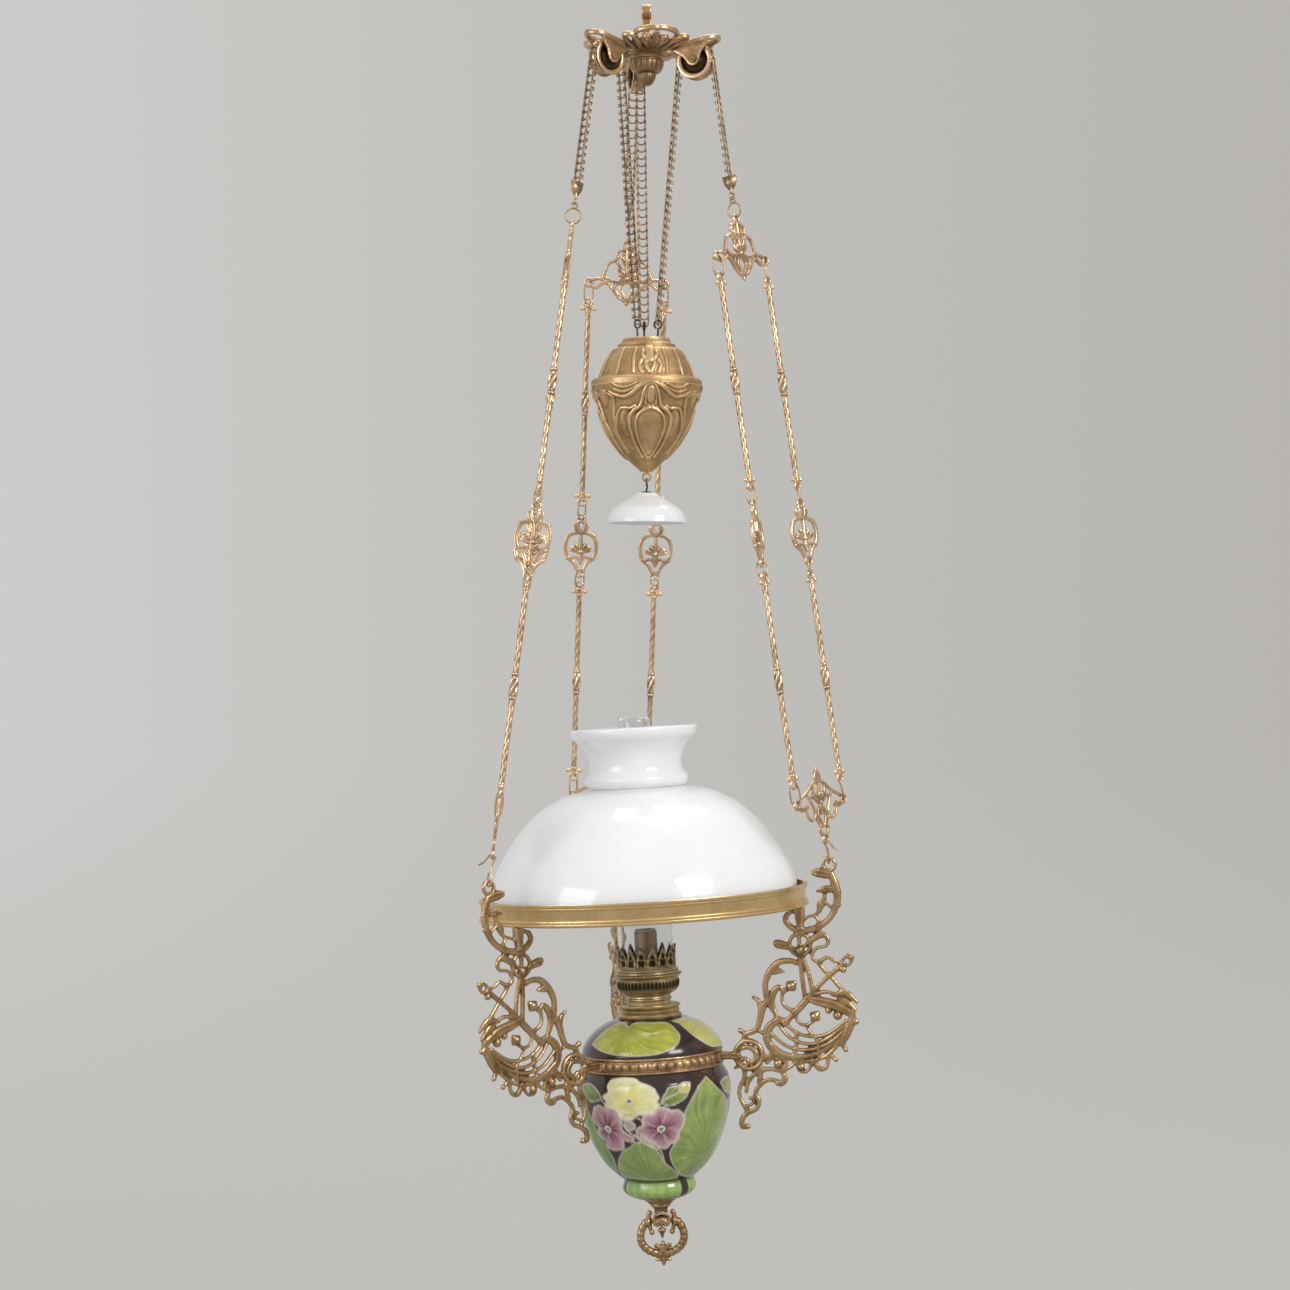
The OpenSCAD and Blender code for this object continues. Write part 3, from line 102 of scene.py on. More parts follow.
def hung(points):
    """The lamp's lean: a turn by the tilt through the lamp's middle, raising the right leg's side."""
    points = np.asarray(points, float)
    lean = np.array([np.cos(AZIMUTH[2]), np.sin(AZIMUTH[2]), 0.0])
    side = np.array([-lean[1], lean[0], 0.0])
    along, across, high = points @ lean, points @ side, points[..., 2] - MID_Z
    level = along * np.cos(TILT) - high * np.sin(TILT)
    rise = MID_Z + high * np.cos(TILT) + along * np.sin(TILT)
    return level[..., None] * lean + across[..., None] * side + rise[..., None] * np.array(UPRIGHT)


def spun(points, angle):
    """Points turned about the vertical axis."""
    c, s = np.cos(angle), np.sin(angle)
    return points @ np.array([[c, s, 0.0], [-s, c, 0.0], [0.0, 0.0, 1.0]])


def axle_of(i):
    """The level direction of a leg's pulley axle."""
    return np.array([-np.sin(AZIMUTH[i]), np.cos(AZIMUTH[i]), 0.0])


def leg_frame(i):
    """Foot, axes (rows: along the axle, outward, up the leg) and length of a leg, arm's eye to pulley."""
    foot = hung(polar(EYE_R, AZIMUTH[i], EYE_Z))
    head_r, head_z = PULLEY_R + PITCH_R * np.cos(CHAIN_SLOPE), PULLEY_Z + PITCH_R * np.sin(CHAIN_SLOPE)
    head = polar(head_r, AZIMUTH[i], head_z)
    up = unit(head - foot)
    axle = axle_of(i)
    axle = unit(axle - (axle @ up) * up)
    return foot, np.stack([axle, np.cross(up, axle), up]), np.linalg.norm(head - foot)


def on_leg(points, i, turn=0.0):
    """Points of a leg's own frame, first turned about the leg, set in the lamp's frame."""
    foot, axes, _ = leg_frame(i)
    return foot + spun(points, turn) @ axes


def spline(points, steps=6):
    """A smooth curve through points: each span is the cubic of its four neighbours."""
    p = np.asarray(points, float)
    p = np.vstack([p[:1], p, p[-1:]])
    t = np.linspace(0.0, 1.0, steps, endpoint=False)[:, None]
    a, b, c, d = p[:-3, None], p[1:-2, None], p[2:-1, None], p[3:, None]
    q = 0.5 * (2 * b + (c - a) * t + (2 * a - 5 * b + 4 * c - d) * t**2 + (3 * b - a - 3 * c + d) * t**3)
    return np.vstack([q.reshape(-1, p.shape[1]), p[-1:]])


def offset(points, r, z):
    """Points (radius, height) of a profile, counted from a radius and a height."""
    return np.array(points, float) + [r, z]


def crisp(line):
    """A profile with every point doubled a hair apart, so that its edges stay sharp in smooth shading."""
    return np.repeat(line, 2, 0) + np.tile([[0, 0], [1e-3, 1e-3]], (len(line), 1))


def taper(values, count, steps=6):
    """Widths along a curve: straight runs between the values at its points."""
    values = list(values) + [values[-1]] * (count - len(values))
    return np.interp(np.linspace(0, count - 1, (count - 1) * steps + 1), np.arange(count), values[:count])


def lattice(grid, wrap_u=False, wrap_v=False):
    """Quads over a grid of points; a wrapped direction joins its last row to its first."""
    u, v = grid.shape[:2]
    number = np.arange(u * v).reshape(u, v)
    if wrap_u:
        number = np.vstack([number, number[:1]])
    if wrap_v:
        number = np.hstack([number, number[:, :1]])
    quads = np.stack([number[:-1, :-1], number[1:, :-1], number[1:, 1:], number[:-1, 1:]], -1)
    return grid.reshape(-1, 3), [quads.reshape(-1, 4)]


def capped(rings, poles):
    """Quads over rings of points, closed at each end by a fan to a pole."""
    points, faces = lattice(rings, False, True)
    around = rings.shape[1]
    turn = np.arange(around)
    last = len(points) - around
    fans = np.vstack([
        np.stack([np.full(around, len(points)), turn, np.roll(turn, -1)], 1),
        np.stack([np.full(around, len(points) + 1), last + np.roll(turn, -1), last + turn], 1)])
    return np.vstack([points, poles]), faces + [fans]


def outward(shell):
    """The same closed shell with its faces turned outwards, told by the sign of its volume."""
    points, faces = shell
    middle = points - points.mean(0)
    volume = sum(np.einsum("ij,ij->", middle[f[:, 0]], np.cross(middle[f[:, k]], middle[f[:, k + 1]]))
                 for f in faces for k in range(1, f.shape[1] - 1))
    return (points, [f[:, ::-1] for f in faces]) if volume < 0 else shell


def joined(shells):
    """Several shells as one list of points and faces."""
    start = np.cumsum([0] + [len(s[0]) for s in shells[:-1]])
    faces = [f + n for s, n in zip(shells, start) for f in s[1]]
    return np.vstack([s[0] for s in shells]), faces


def placed(shell, move):
    """A shell with its points sent through a function."""
    return move(shell[0]), shell[1]


def mirrored(shell):
    """A shell turned over from left to right, its faces still outwards."""
    return shell[0] * np.array([-1.0, 1.0, 1.0]), [f[:, ::-1] for f in shell[1]]


def tube(path, half_w, half_t, normal, sides=10, closed=False, flute=0.0, square=1.0):
    """An oval section carried along a path. Its width lies across the path and the normal, its height along
    the normal; flute hollows the crown, square below one flattens the sides, and open ends are rounded."""
    path = np.asarray(path, float)
    count = len(path)
    half_w, half_t = (np.broadcast_to(value, count)[:, None, None] for value in (half_w, half_t))
    run = np.roll(path, -1, 0) - np.roll(path, 1, 0) if closed else np.gradient(path, axis=0)
    run = unit(run)
    across = unit(np.cross(np.asarray(normal, float), run))
    crown = np.cross(run, across)
    phi = 2 * np.pi * (np.arange(sides) + 0.5) / sides
    wide = np.sign(np.cos(phi)) * np.abs(np.cos(phi)) ** square
    high = np.sign(np.sin(phi)) * np.abs(np.sin(phi)) ** square
    high = high * (1 - flute * np.exp(-((np.cos(phi) / 0.38) ** 2)))
    ring = path[:, None] + across[:, None] * half_w * wide[:, None] + crown[:, None] * half_t * high[:, None]
    if closed:
        return outward(lattice(ring, True, True))
    bow = np.radians([62.0, 32.0])[:, None, None]
    head = path[0] - run[0] * half_w[0] * np.sin(bow) + np.cos(bow) * (ring[0] - path[0])
    tail = path[-1] + run[-1] * half_w[-1] * np.sin(bow) + np.cos(bow) * (ring[-1] - path[-1])
    poles = np.stack([path[0] - run[0] * half_w[0, 0], path[-1] + run[-1] * half_w[-1, 0]])
    return outward(capped(np.concatenate([head, ring, tail[::-1]]), poles))


def stroke(points, widths, thick, steps=6, flute=0.0):
    """A rounded stem of an upright openwork casting along a smooth curve (across, up)."""
    flat = spline(points, steps)
    wide = taper(widths, len(points), steps) / 2
    path = np.stack([flat[:, 0], 0 * flat[:, 0], flat[:, 1]], 1)
    high = np.clip(STEM_SHARE * 2 * wide + STEM_MORE, STEM_LEAST, thick / 2)
    return tube(path, wide, high, DEEP, flute=flute)


def hoop(centre, radius, width, thick):
    """A rounded ring standing in an upright casting."""
    turn = turns(40)
    path = np.stack([centre[0] + radius * np.cos(turn), 0 * turn, centre[1] + radius * np.sin(turn)], 1)
    return tube(path, width / 2, min(STEM_SHARE * width + STEM_MORE, thick / 2), DEEP, closed=True)


def ball(centre, radii, rows=8, around=12):
    """An ellipsoid: latitude by longitude, closed at both poles."""
    lat = np.linspace(-np.pi / 2, np.pi / 2, rows + 1)[1:-1, None]
    lon = turns(around)[None]
    rings = np.stack([np.cos(lat) * np.cos(lon), np.cos(lat) * np.sin(lon), np.sin(lat) + 0 * lon], -1)
    points, faces = capped(rings, [[0.0, 0.0, -1.0], [0.0, 0.0, 1.0]])
    return outward((points * np.asarray(radii, float) + np.asarray(centre, float), faces))


def lathe(profile, around, shape=None):
    """A closed outline (radius, height) turned about the vertical axis; shape(radius, angle, height) reworks
    the radius."""
    profile = np.asarray(profile, float)
    angle = turns(around)[None]
    radius, high = np.maximum(profile[:, :1], AXIS) + 0 * angle, profile[:, 1:] + 0 * angle
    if shape is not None:
        radius = shape(radius, angle, high)
    grid = np.stack([radius * np.cos(angle), radius * np.sin(angle), high], -1)
    return outward(lattice(grid, True, True))


def prism(outline, low, high):
    """A flat outline (across, up) as an upright plate from one depth to another."""
    outline = np.asarray(outline, float)
    count = len(outline)
    rows = [np.stack([outline[:, 0], np.full(count, d), outline[:, 1]], 1) for d in (low, high)]
    points, faces = lattice(np.stack(rows), False, True)
    turn = np.arange(count)
    return outward((points, faces + [turn[None, :], (turn[::-1] + count)[None, :]]))


def fused(shells, voxel):
    """Overlapping closed shells melted into one skin on a fine cubic grid, then eased."""
    mesh = skin("melt", *joined(shells))
    form = bpy.data.objects.new("melt", mesh)
    bpy.context.scene.collection.objects.link(form)
    melt = form.modifiers.new("melt", "REMESH")
    melt.mode = "VOXEL"
    melt.voxel_size = voxel * MM
    ease = form.modifiers.new("ease", "SMOOTH")
    ease.iterations = 2
    ease.factor = 0.5
    eased = form.evaluated_get(bpy.context.evaluated_depsgraph_get())
    made = eased.to_mesh()
    spots = np.empty(len(made.vertices) * 3, np.float32)
    made.vertices.foreach_get("co", spots)
    corners = np.empty(len(made.loops), np.int32)
    made.loops.foreach_get("vertex_index", corners)
    quads = corners.reshape(-1, 4)
    eased.to_mesh_clear()
    bpy.data.objects.remove(form)
    bpy.data.meshes.remove(mesh)
    return outward((spots.reshape(-1, 3).astype(float) / MM, [quads]))


def edges_of(faces):
    """The two ends of every side of every face."""
    a = np.concatenate([f.ravel() for f in faces])
    b = np.concatenate([np.roll(f, -1, 1).ravel() for f in faces])
    return a, b


def relief_of(shell, passes, gain):
    """How far each point stands out of its neighbours along its normal, against the mesh's own step, spread
    over some passes: above zero on ridges, below zero in hollows."""
    points, faces = shell
    a, b = edges_of(faces)
    count = len(points)
    many = np.maximum(np.bincount(a, minlength=count) + np.bincount(b, minlength=count), 1)

    def spread(values):
        return np.bincount(a, values[b], count) + np.bincount(b, values[a], count)

    normal = np.zeros((count, 3))
    for f in faces:
        face = np.cross(points[f[:, 1]] - points[f[:, 0]], points[f[:, -1]] - points[f[:, 0]])
        for k in range(f.shape[1]):
            for n in range(3):
                normal[:, n] += np.bincount(f[:, k], face[:, n], count)
    normal /= np.maximum(np.linalg.norm(normal, axis=1, keepdims=True), 1e-9)
    mean = np.stack([spread(points[:, n]) / many for n in range(3)], 1)
    step = np.linalg.norm(points[a] - points[b], axis=1).mean()
    value = np.einsum("ij,ij->i", points - mean, normal) / step
    own, shared = 0.4, 0.6
    for _ in range(passes):
        value = own * value + shared * spread(value) / many
    return np.clip(value * gain, -1.0, 1.0)


def swollen(points, high):
    """Points moved straight away from the axis, each by its own height."""
    out = points * [1.0, 1.0, 0.0]
    out = out / np.maximum(np.linalg.norm(out, axis=1, keepdims=True), 1e-6)
    return points + out * high[:, None]


def skin(name, points, faces):
    """A smooth-shaded mesh in metres from points in millimetres."""
    mesh = bpy.data.meshes.new(name)
    sizes = np.concatenate([np.full(len(f), f.shape[1]) for f in faces])
    corners = np.concatenate([f.ravel() for f in faces]).astype(np.int32)
    mesh.vertices.add(len(points))
    mesh.vertices.foreach_set("co", (points * MM).astype(np.float32).ravel())
    mesh.loops.add(len(corners))
    mesh.loops.foreach_set("vertex_index", corners)
    mesh.polygons.add(len(sizes))
    mesh.polygons.foreach_set("loop_start", np.concatenate([[0], np.cumsum(sizes)[:-1]]).astype(np.int32))
    mesh.update(calc_edges=True)
    mesh.shade_smooth()
    return mesh


def piece(name, shell, finish, body, nodes, relief=None, tint=None, between=None):
    """One named object: its mesh, its finish, the body it rides on and the solids it stands for."""
    mesh = skin(name, *shell)
    if relief is not None:
        mesh.attributes.new("relief", "FLOAT", "POINT").data.foreach_set("value", relief.astype(np.float32))
    if tint is not None:
        full = np.concatenate([tint, np.ones((len(tint), 1))], 1).astype(np.float32)
        mesh.attributes.new("tint", "FLOAT_COLOR", "POINT").data.foreach_set("color", full.ravel())
    thing = bpy.data.objects.new(name, mesh)
    bpy.context.scene.collection.objects.link(thing)
    mesh.materials.append(finish)
    if between is None:
        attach(thing, body)
    else:
        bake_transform(thing)
    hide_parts(*nodes)


def dress(finish, *nodes):
    """A finish on solids that are shown as they are."""
    for name in nodes:
        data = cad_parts[name].data
        data.materials.clear()
        data.materials.append(finish)


def knot(tree, kind, values=None, **settings):
    """One shader node with its settings, its fixed values and its links."""
    node = tree.nodes.new(kind)
    for key, value in settings.items():
        setattr(node, key, value)
    for key, value in (values or {}).items():
        if isinstance(value, bpy.types.NodeSocket):
            tree.links.new(value, node.inputs[key])
        else:
            node.inputs[key].default_value = value
    return node


def blank(name):
    """An empty node material with its output, and the Object coordinates."""
    material = bpy.data.materials.new("lamp_" + name)
    material.use_nodes = True
    tree = material.node_tree
    tree.nodes.clear()
    out = tree.nodes.new("ShaderNodeOutputMaterial")
    place = tree.nodes.new("ShaderNodeTexCoord").outputs["Object"]
    return material, tree, out, place


def ramp(tree, source, stops):
    """A colour ramp with the given (place, colour) stops."""
    node = tree.nodes.new("ShaderNodeValToRGB")
    line = node.color_ramp.elements
    while len(line) < len(stops):
        line.new(0.5)
    for element, (spot, colour) in zip(line, stops):
        element.position = spot
        element.color = (*colour, 1.0)
    tree.links.new(source, node.inputs["Fac"])
    return node.outputs["Color"]


def noise(tree, place, scale, detail, rough):
    """Cloud noise on a set of coordinates."""
    values = {"Vector": place, "Scale": scale, "Detail": detail, "Roughness": rough}
    return knot(tree, "ShaderNodeTexNoise", values).outputs["Fac"]


def mapped(tree, value, low, high, start=0.0, stop=1.0):
    """A value between start and stop, spread from low to high."""
    values = {"Value": value, "From Min": start, "From Max": stop, "To Min": low, "To Max": high}
    return knot(tree, "ShaderNodeMapRange", values).outputs[0]


def bumped(tree, height, strength, distance):
    """A normal shaken by a height."""
    values = {"Height": height, "Strength": strength, "Distance": distance}
    return knot(tree, "ShaderNodeBump", values).outputs[0]


def principled(tree, **values):
    """The general surface shader; an input's words are joined by underscores."""
    named = {key.replace("_", " "): value for key, value in values.items()}
    return knot(tree, "ShaderNodeBsdfPrincipled", named)


def sum_of(tree, a, gain, b):
    """a times gain plus b."""
    return knot(tree, "ShaderNodeMath", {0: a, 1: gain, 2: b}, operation="MULTIPLY_ADD").outputs[0]


def made_once(build):
    """Turns a builder of shaders into a maker of named materials, each made once and then found again."""

    @wraps(build)
    def make(name, *settings):
        found = bpy.data.materials.get("lamp_" + name)
        if found:
            return found
        material, tree, out, place = blank(name)
        tree.links.new(build(tree, place, *settings).outputs[0], out.inputs["Surface"])
        return material

    return make


@made_once
def metal_finish(tree, place, colour, rough, patina, contrast=1.0, cloud=1.0):
    """Cast and gilt metal: worn bright on ridges, dark in hollows, clouded with patina and finely pitted; its
    relief attribute also carries the painted shade that some pieces set.
    """
    broad = noise(tree, place, 55.0, 4.0, 0.6)
    fine = noise(tree, place, 620.0, 3.0, 0.6)
    raised = knot(tree, "ShaderNodeAttribute", attribute_name="relief").outputs["Fac"]
    tone = sum_of(tree, broad, cloud, 0.5 - 0.5 * cloud)
    tone = sum_of(tree, raised, 0.85 * contrast, tone)
    tone = sum_of(tree, fine, 0.22, tone)
    colour = np.array(colour[:3])
    stops = [(0.12, colour * (0.2 - 0.1 * patina)), (0.42, colour * 0.56), (0.62, colour),
             (0.92, np.minimum(colour * 1.55 + 0.08, 0.95))]
    paint = ramp(tree, tone, stops)
    dull = mapped(tree, tone, min(rough + 0.2, 0.9), rough - 0.08, 0.3, 0.95)
    bump = bumped(tree, fine, 0.18, 0.0006)
    return principled(tree, Base_Color=paint, Metallic=0.9, Roughness=dull, Normal=bump)


@made_once
def opal_finish(tree, place, colour):
    """Opal glass: milky with faint clouds and a glassy coat."""
    cloud = noise(tree, place, 16.0, 3.0, 0.5)
    colour = np.array(colour[:3])
    paint = ramp(tree, cloud, [(0.3, colour * 0.965), (0.7, np.minimum(colour * 1.01, 1.0))])
    wave = noise(tree, place, 26.0, 1.0, 0.3)
    bump = bumped(tree, wave, 0.05, 0.002)
    shine = mapped(tree, cloud, 0.1, 0.2)
    return principled(tree, Base_Color=paint, Roughness=shine, IOR=1.5, Coat_Weight=0.4, Coat_Roughness=0.05,
                      Subsurface_Weight=0.25, Subsurface_Radius=(0.02, 0.02, 0.02), Subsurface_Scale=0.4,
                      Normal=bump)


@made_once
def clear_finish(tree, place, colour):
    """Blown clear glass with a faint haze and slow waves."""
    wave = noise(tree, place, 30.0, 1.0, 0.3)
    haze = mapped(tree, wave, 0.0, 0.06)
    colour = np.array(colour[:3])
    paint = ramp(tree, wave, [(0.2, colour * 0.97), (0.8, colour)])
    bump = bumped(tree, wave, 0.06, 0.002)
    return principled(tree, Base_Color=paint, Roughness=haze, IOR=1.06, Transmission_Weight=1.0, Normal=bump,
                      Coat_Weight=0.8, Coat_Roughness=0.02, Coat_IOR=1.5)


@made_once
def glaze_finish(tree, place):
    """Majolica: painted colours under a thick clear glaze with a slight ripple."""
    tint = knot(tree, "ShaderNodeAttribute", attribute_name="tint").outputs["Color"]
    cloud = noise(tree, place, 90.0, 4.0, 0.6)
    shade = ramp(tree, cloud, [(0.3, (0.78, 0.78, 0.78)), (0.65, (1.0, 1.0, 1.0))])
    paint = knot(tree, "ShaderNodeMix", {6: tint, 7: shade, 0: 1.0}, data_type="RGBA", blend_type="MULTIPLY")
    ripple = noise(tree, place, 160.0, 2.0, 0.5)
    bump = bumped(tree, ripple, 0.12, 0.0008)
    rough = mapped(tree, ripple, 0.12, 0.26)
    return principled(tree, Base_Color=paint.outputs[2], Roughness=rough, Coat_Weight=0.5,
                      Coat_Roughness=0.06, Normal=bump)


@made_once
def cotton_finish(tree, place, colour):
    """Woven wick: ribs round the tube."""
    rib = knot(tree, "ShaderNodeTexWave", {"Vector": place, "Scale": 420.0, "Distortion": 2.0},
               bands_direction="Z").outputs["Fac"]
    colour = np.array(colour[:3])
    paint = ramp(tree, rib, [(0.2, colour * 0.6), (0.8, colour)])
    bump = bumped(tree, rib, 0.5, 0.0005)
    rough = mapped(tree, rib, 0.85, 0.97)
    return principled(tree, Base_Color=paint, Roughness=rough, Normal=bump)


@made_once
def copper_finish(tree, place):
    """Copper in upright streaks, dark to bright: painted reflections, with some heat tint."""
    tall = knot(tree, "ShaderNodeMapping", {"Vector": place, "Scale": (1.0, 1.0, 0.06)}).outputs[0]
    streak_sheen = noise(tree, tall, 150.0, 3.0, 0.6)
    paint = ramp(tree, streak_sheen, [(0.3, (0.05, 0.03, 0.02)), (0.47, (0.25, 0.15, 0.07)),
                               (0.56, (0.4, 0.21, 0.1)), (0.68, (0.62, 0.48, 0.26))])
    dull = mapped(tree, streak_sheen, 0.5, 0.2)
    return principled(tree, Base_Color=paint, Metallic=0.75, Roughness=dull)


@made_once
def floor_finish(tree, place, grey):
    """Pale paper that is partly lit from itself."""
    speck = noise(tree, place, 40.0, 2.0, 0.5)
    paint = ramp(tree, speck, [(0.3, grey * 0.97), (0.7, grey)])
    base = knot(tree, "ShaderNodeBsdfDiffuse", {"Color": paint})
    glow = knot(tree, "ShaderNodeEmission", {"Color": paint, "Strength": 0.55})
    return knot(tree, "ShaderNodeMixShader", {0: 0.5, 1: base.outputs[0], 2: glow.outputs[0]})


COLOUR = {"size": 3, "subtype": "COLOR", "min": 0.0, "max": 1.0}


class LampFinish(bpy.types.PropertyGroup):
    """Colours of the lamp's finishes."""

    gilt: FloatVectorProperty(name="Gilt", description="Light gilding of rods, yokes and chains",
                              default=(0.52, 0.355, 0.215), **COLOUR)
    bronze: FloatVectorProperty(name="Bronze", description="Brownish gilding of the arms and corona",
                                default=(0.328, 0.204, 0.093), **COLOUR)
    satin: FloatVectorProperty(name="Satin brass", description="Sheet brass of the shade ring",
                               default=(0.84, 0.6, 0.3), **COLOUR)
    antique: FloatVectorProperty(name="Antique gold", description="Gilding of the counterweight",
                                 default=(0.53, 0.345, 0.165), **COLOUR)
    burner: FloatVectorProperty(name="Burner brass", description="Tarnished brass of the burner",
                                default=(0.32, 0.235, 0.11), **COLOUR)
    steel: FloatVectorProperty(name="Dark wire", description="Blackened wire of the hooks",
                               default=(0.075, 0.07, 0.065), **COLOUR)
    opal: FloatVectorProperty(name="Opal glass", description="Milk glass of the shade and smoke bell",
                              default=(0.9, 0.905, 0.9), **COLOUR)
    clear: FloatVectorProperty(name="Clear glass", description="Glass of the chimney",
                               default=(0.94, 0.95, 0.95), **COLOUR)
    ground: FloatVectorProperty(name="Glaze ground", description="Dark brown ground of the vase",
                                default=(0.035, 0.017, 0.014), **COLOUR)
    leaf: FloatVectorProperty(name="Leaf glaze", description="Green of the painted leaves",
                              default=(0.3, 0.385, 0.1), **COLOUR)
    petal: FloatVectorProperty(name="Petal glaze", description="Mauve of the painted flowers",
                               default=(0.48, 0.235, 0.275), **COLOUR)
    cotton: FloatVectorProperty(name="Wick", description="Cotton of the wick",
                                default=(0.62, 0.55, 0.42), **COLOUR)
    backdrop: FloatVectorProperty(name="Backdrop", description="Pale grey of the studio",
                                  default=(0.533, 0.527, 0.503), **COLOUR)


class LampSizes(bpy.types.PropertyGroup):
    """Sizes of the lamp's finer details."""

    chain_wire: FloatProperty(name="Chain wire", description="Thickness of the chain wire", default=0.0018,
                              unit="LENGTH", min=0.0005, max=0.003)
    link_wire: FloatProperty(name="Link wire", description="Thickness of the wire links", default=0.0016,
                             unit="LENGTH", min=0.0005, max=0.003)
    rope_lay: FloatProperty(name="Rope lay", description="Length of one turn of a rope rod's twist",
                            default=0.03, unit="LENGTH", min=0.005, max=0.1)
    rope_depth: FloatProperty(name="Rope depth",
                              description="Depth of a rope rod's twist as a share of its radius",
                              default=0.08, subtype="FACTOR", min=0.0, max=0.5)
    weight_relief: FloatProperty(name="Weight relief", description="Height of the counterweight's ornament",
                                 default=0.0021, unit="LENGTH", min=0.0, max=0.004)
    glaze_relief: FloatProperty(name="Glaze relief", description="Height of the vase's raised outlines",
                                default=0.0007, unit="LENGTH", min=0.0, max=0.003)
    camera_far: FloatProperty(name="Camera distance",
                              description="Distance from the camera to the lamp's axis", default=2.6,
                              unit="LENGTH", min=0.5, max=10.0)
    floor_drop: FloatProperty(name="Floor", description="Height of the studio floor", default=-2.3,
                              unit="LENGTH", min=-10.0, max=-1.3)


def looks():
    """The colours and sizes kept with the scene."""
    return bpy.context.scene.lamp_finish, bpy.context.scene.lamp_sizes


def gilt():
    """Light gilding."""
    return metal_finish("gilt_brass", looks()[0].gilt, 0.32, 0.6, 1.5)


def bronze():
    """Brownish gilding."""
    return metal_finish("bronze_gilding", looks()[0].bronze, 0.34, 0.8, 1.7)


def antique():
    """Antique gold of the counterweight."""
    return metal_finish("antique_gold", looks()[0].antique, 0.4, 0.8, 1.3, 0.6)


def dark_wire():
    """Blackened steel wire."""
    return metal_finish("dark_wire", looks()[0].steel, 0.45, 0.5)


def burner_brass():
    """Tarnished brass."""
    return metal_finish("burner_brass", looks()[0].burner, 0.32, 0.9)


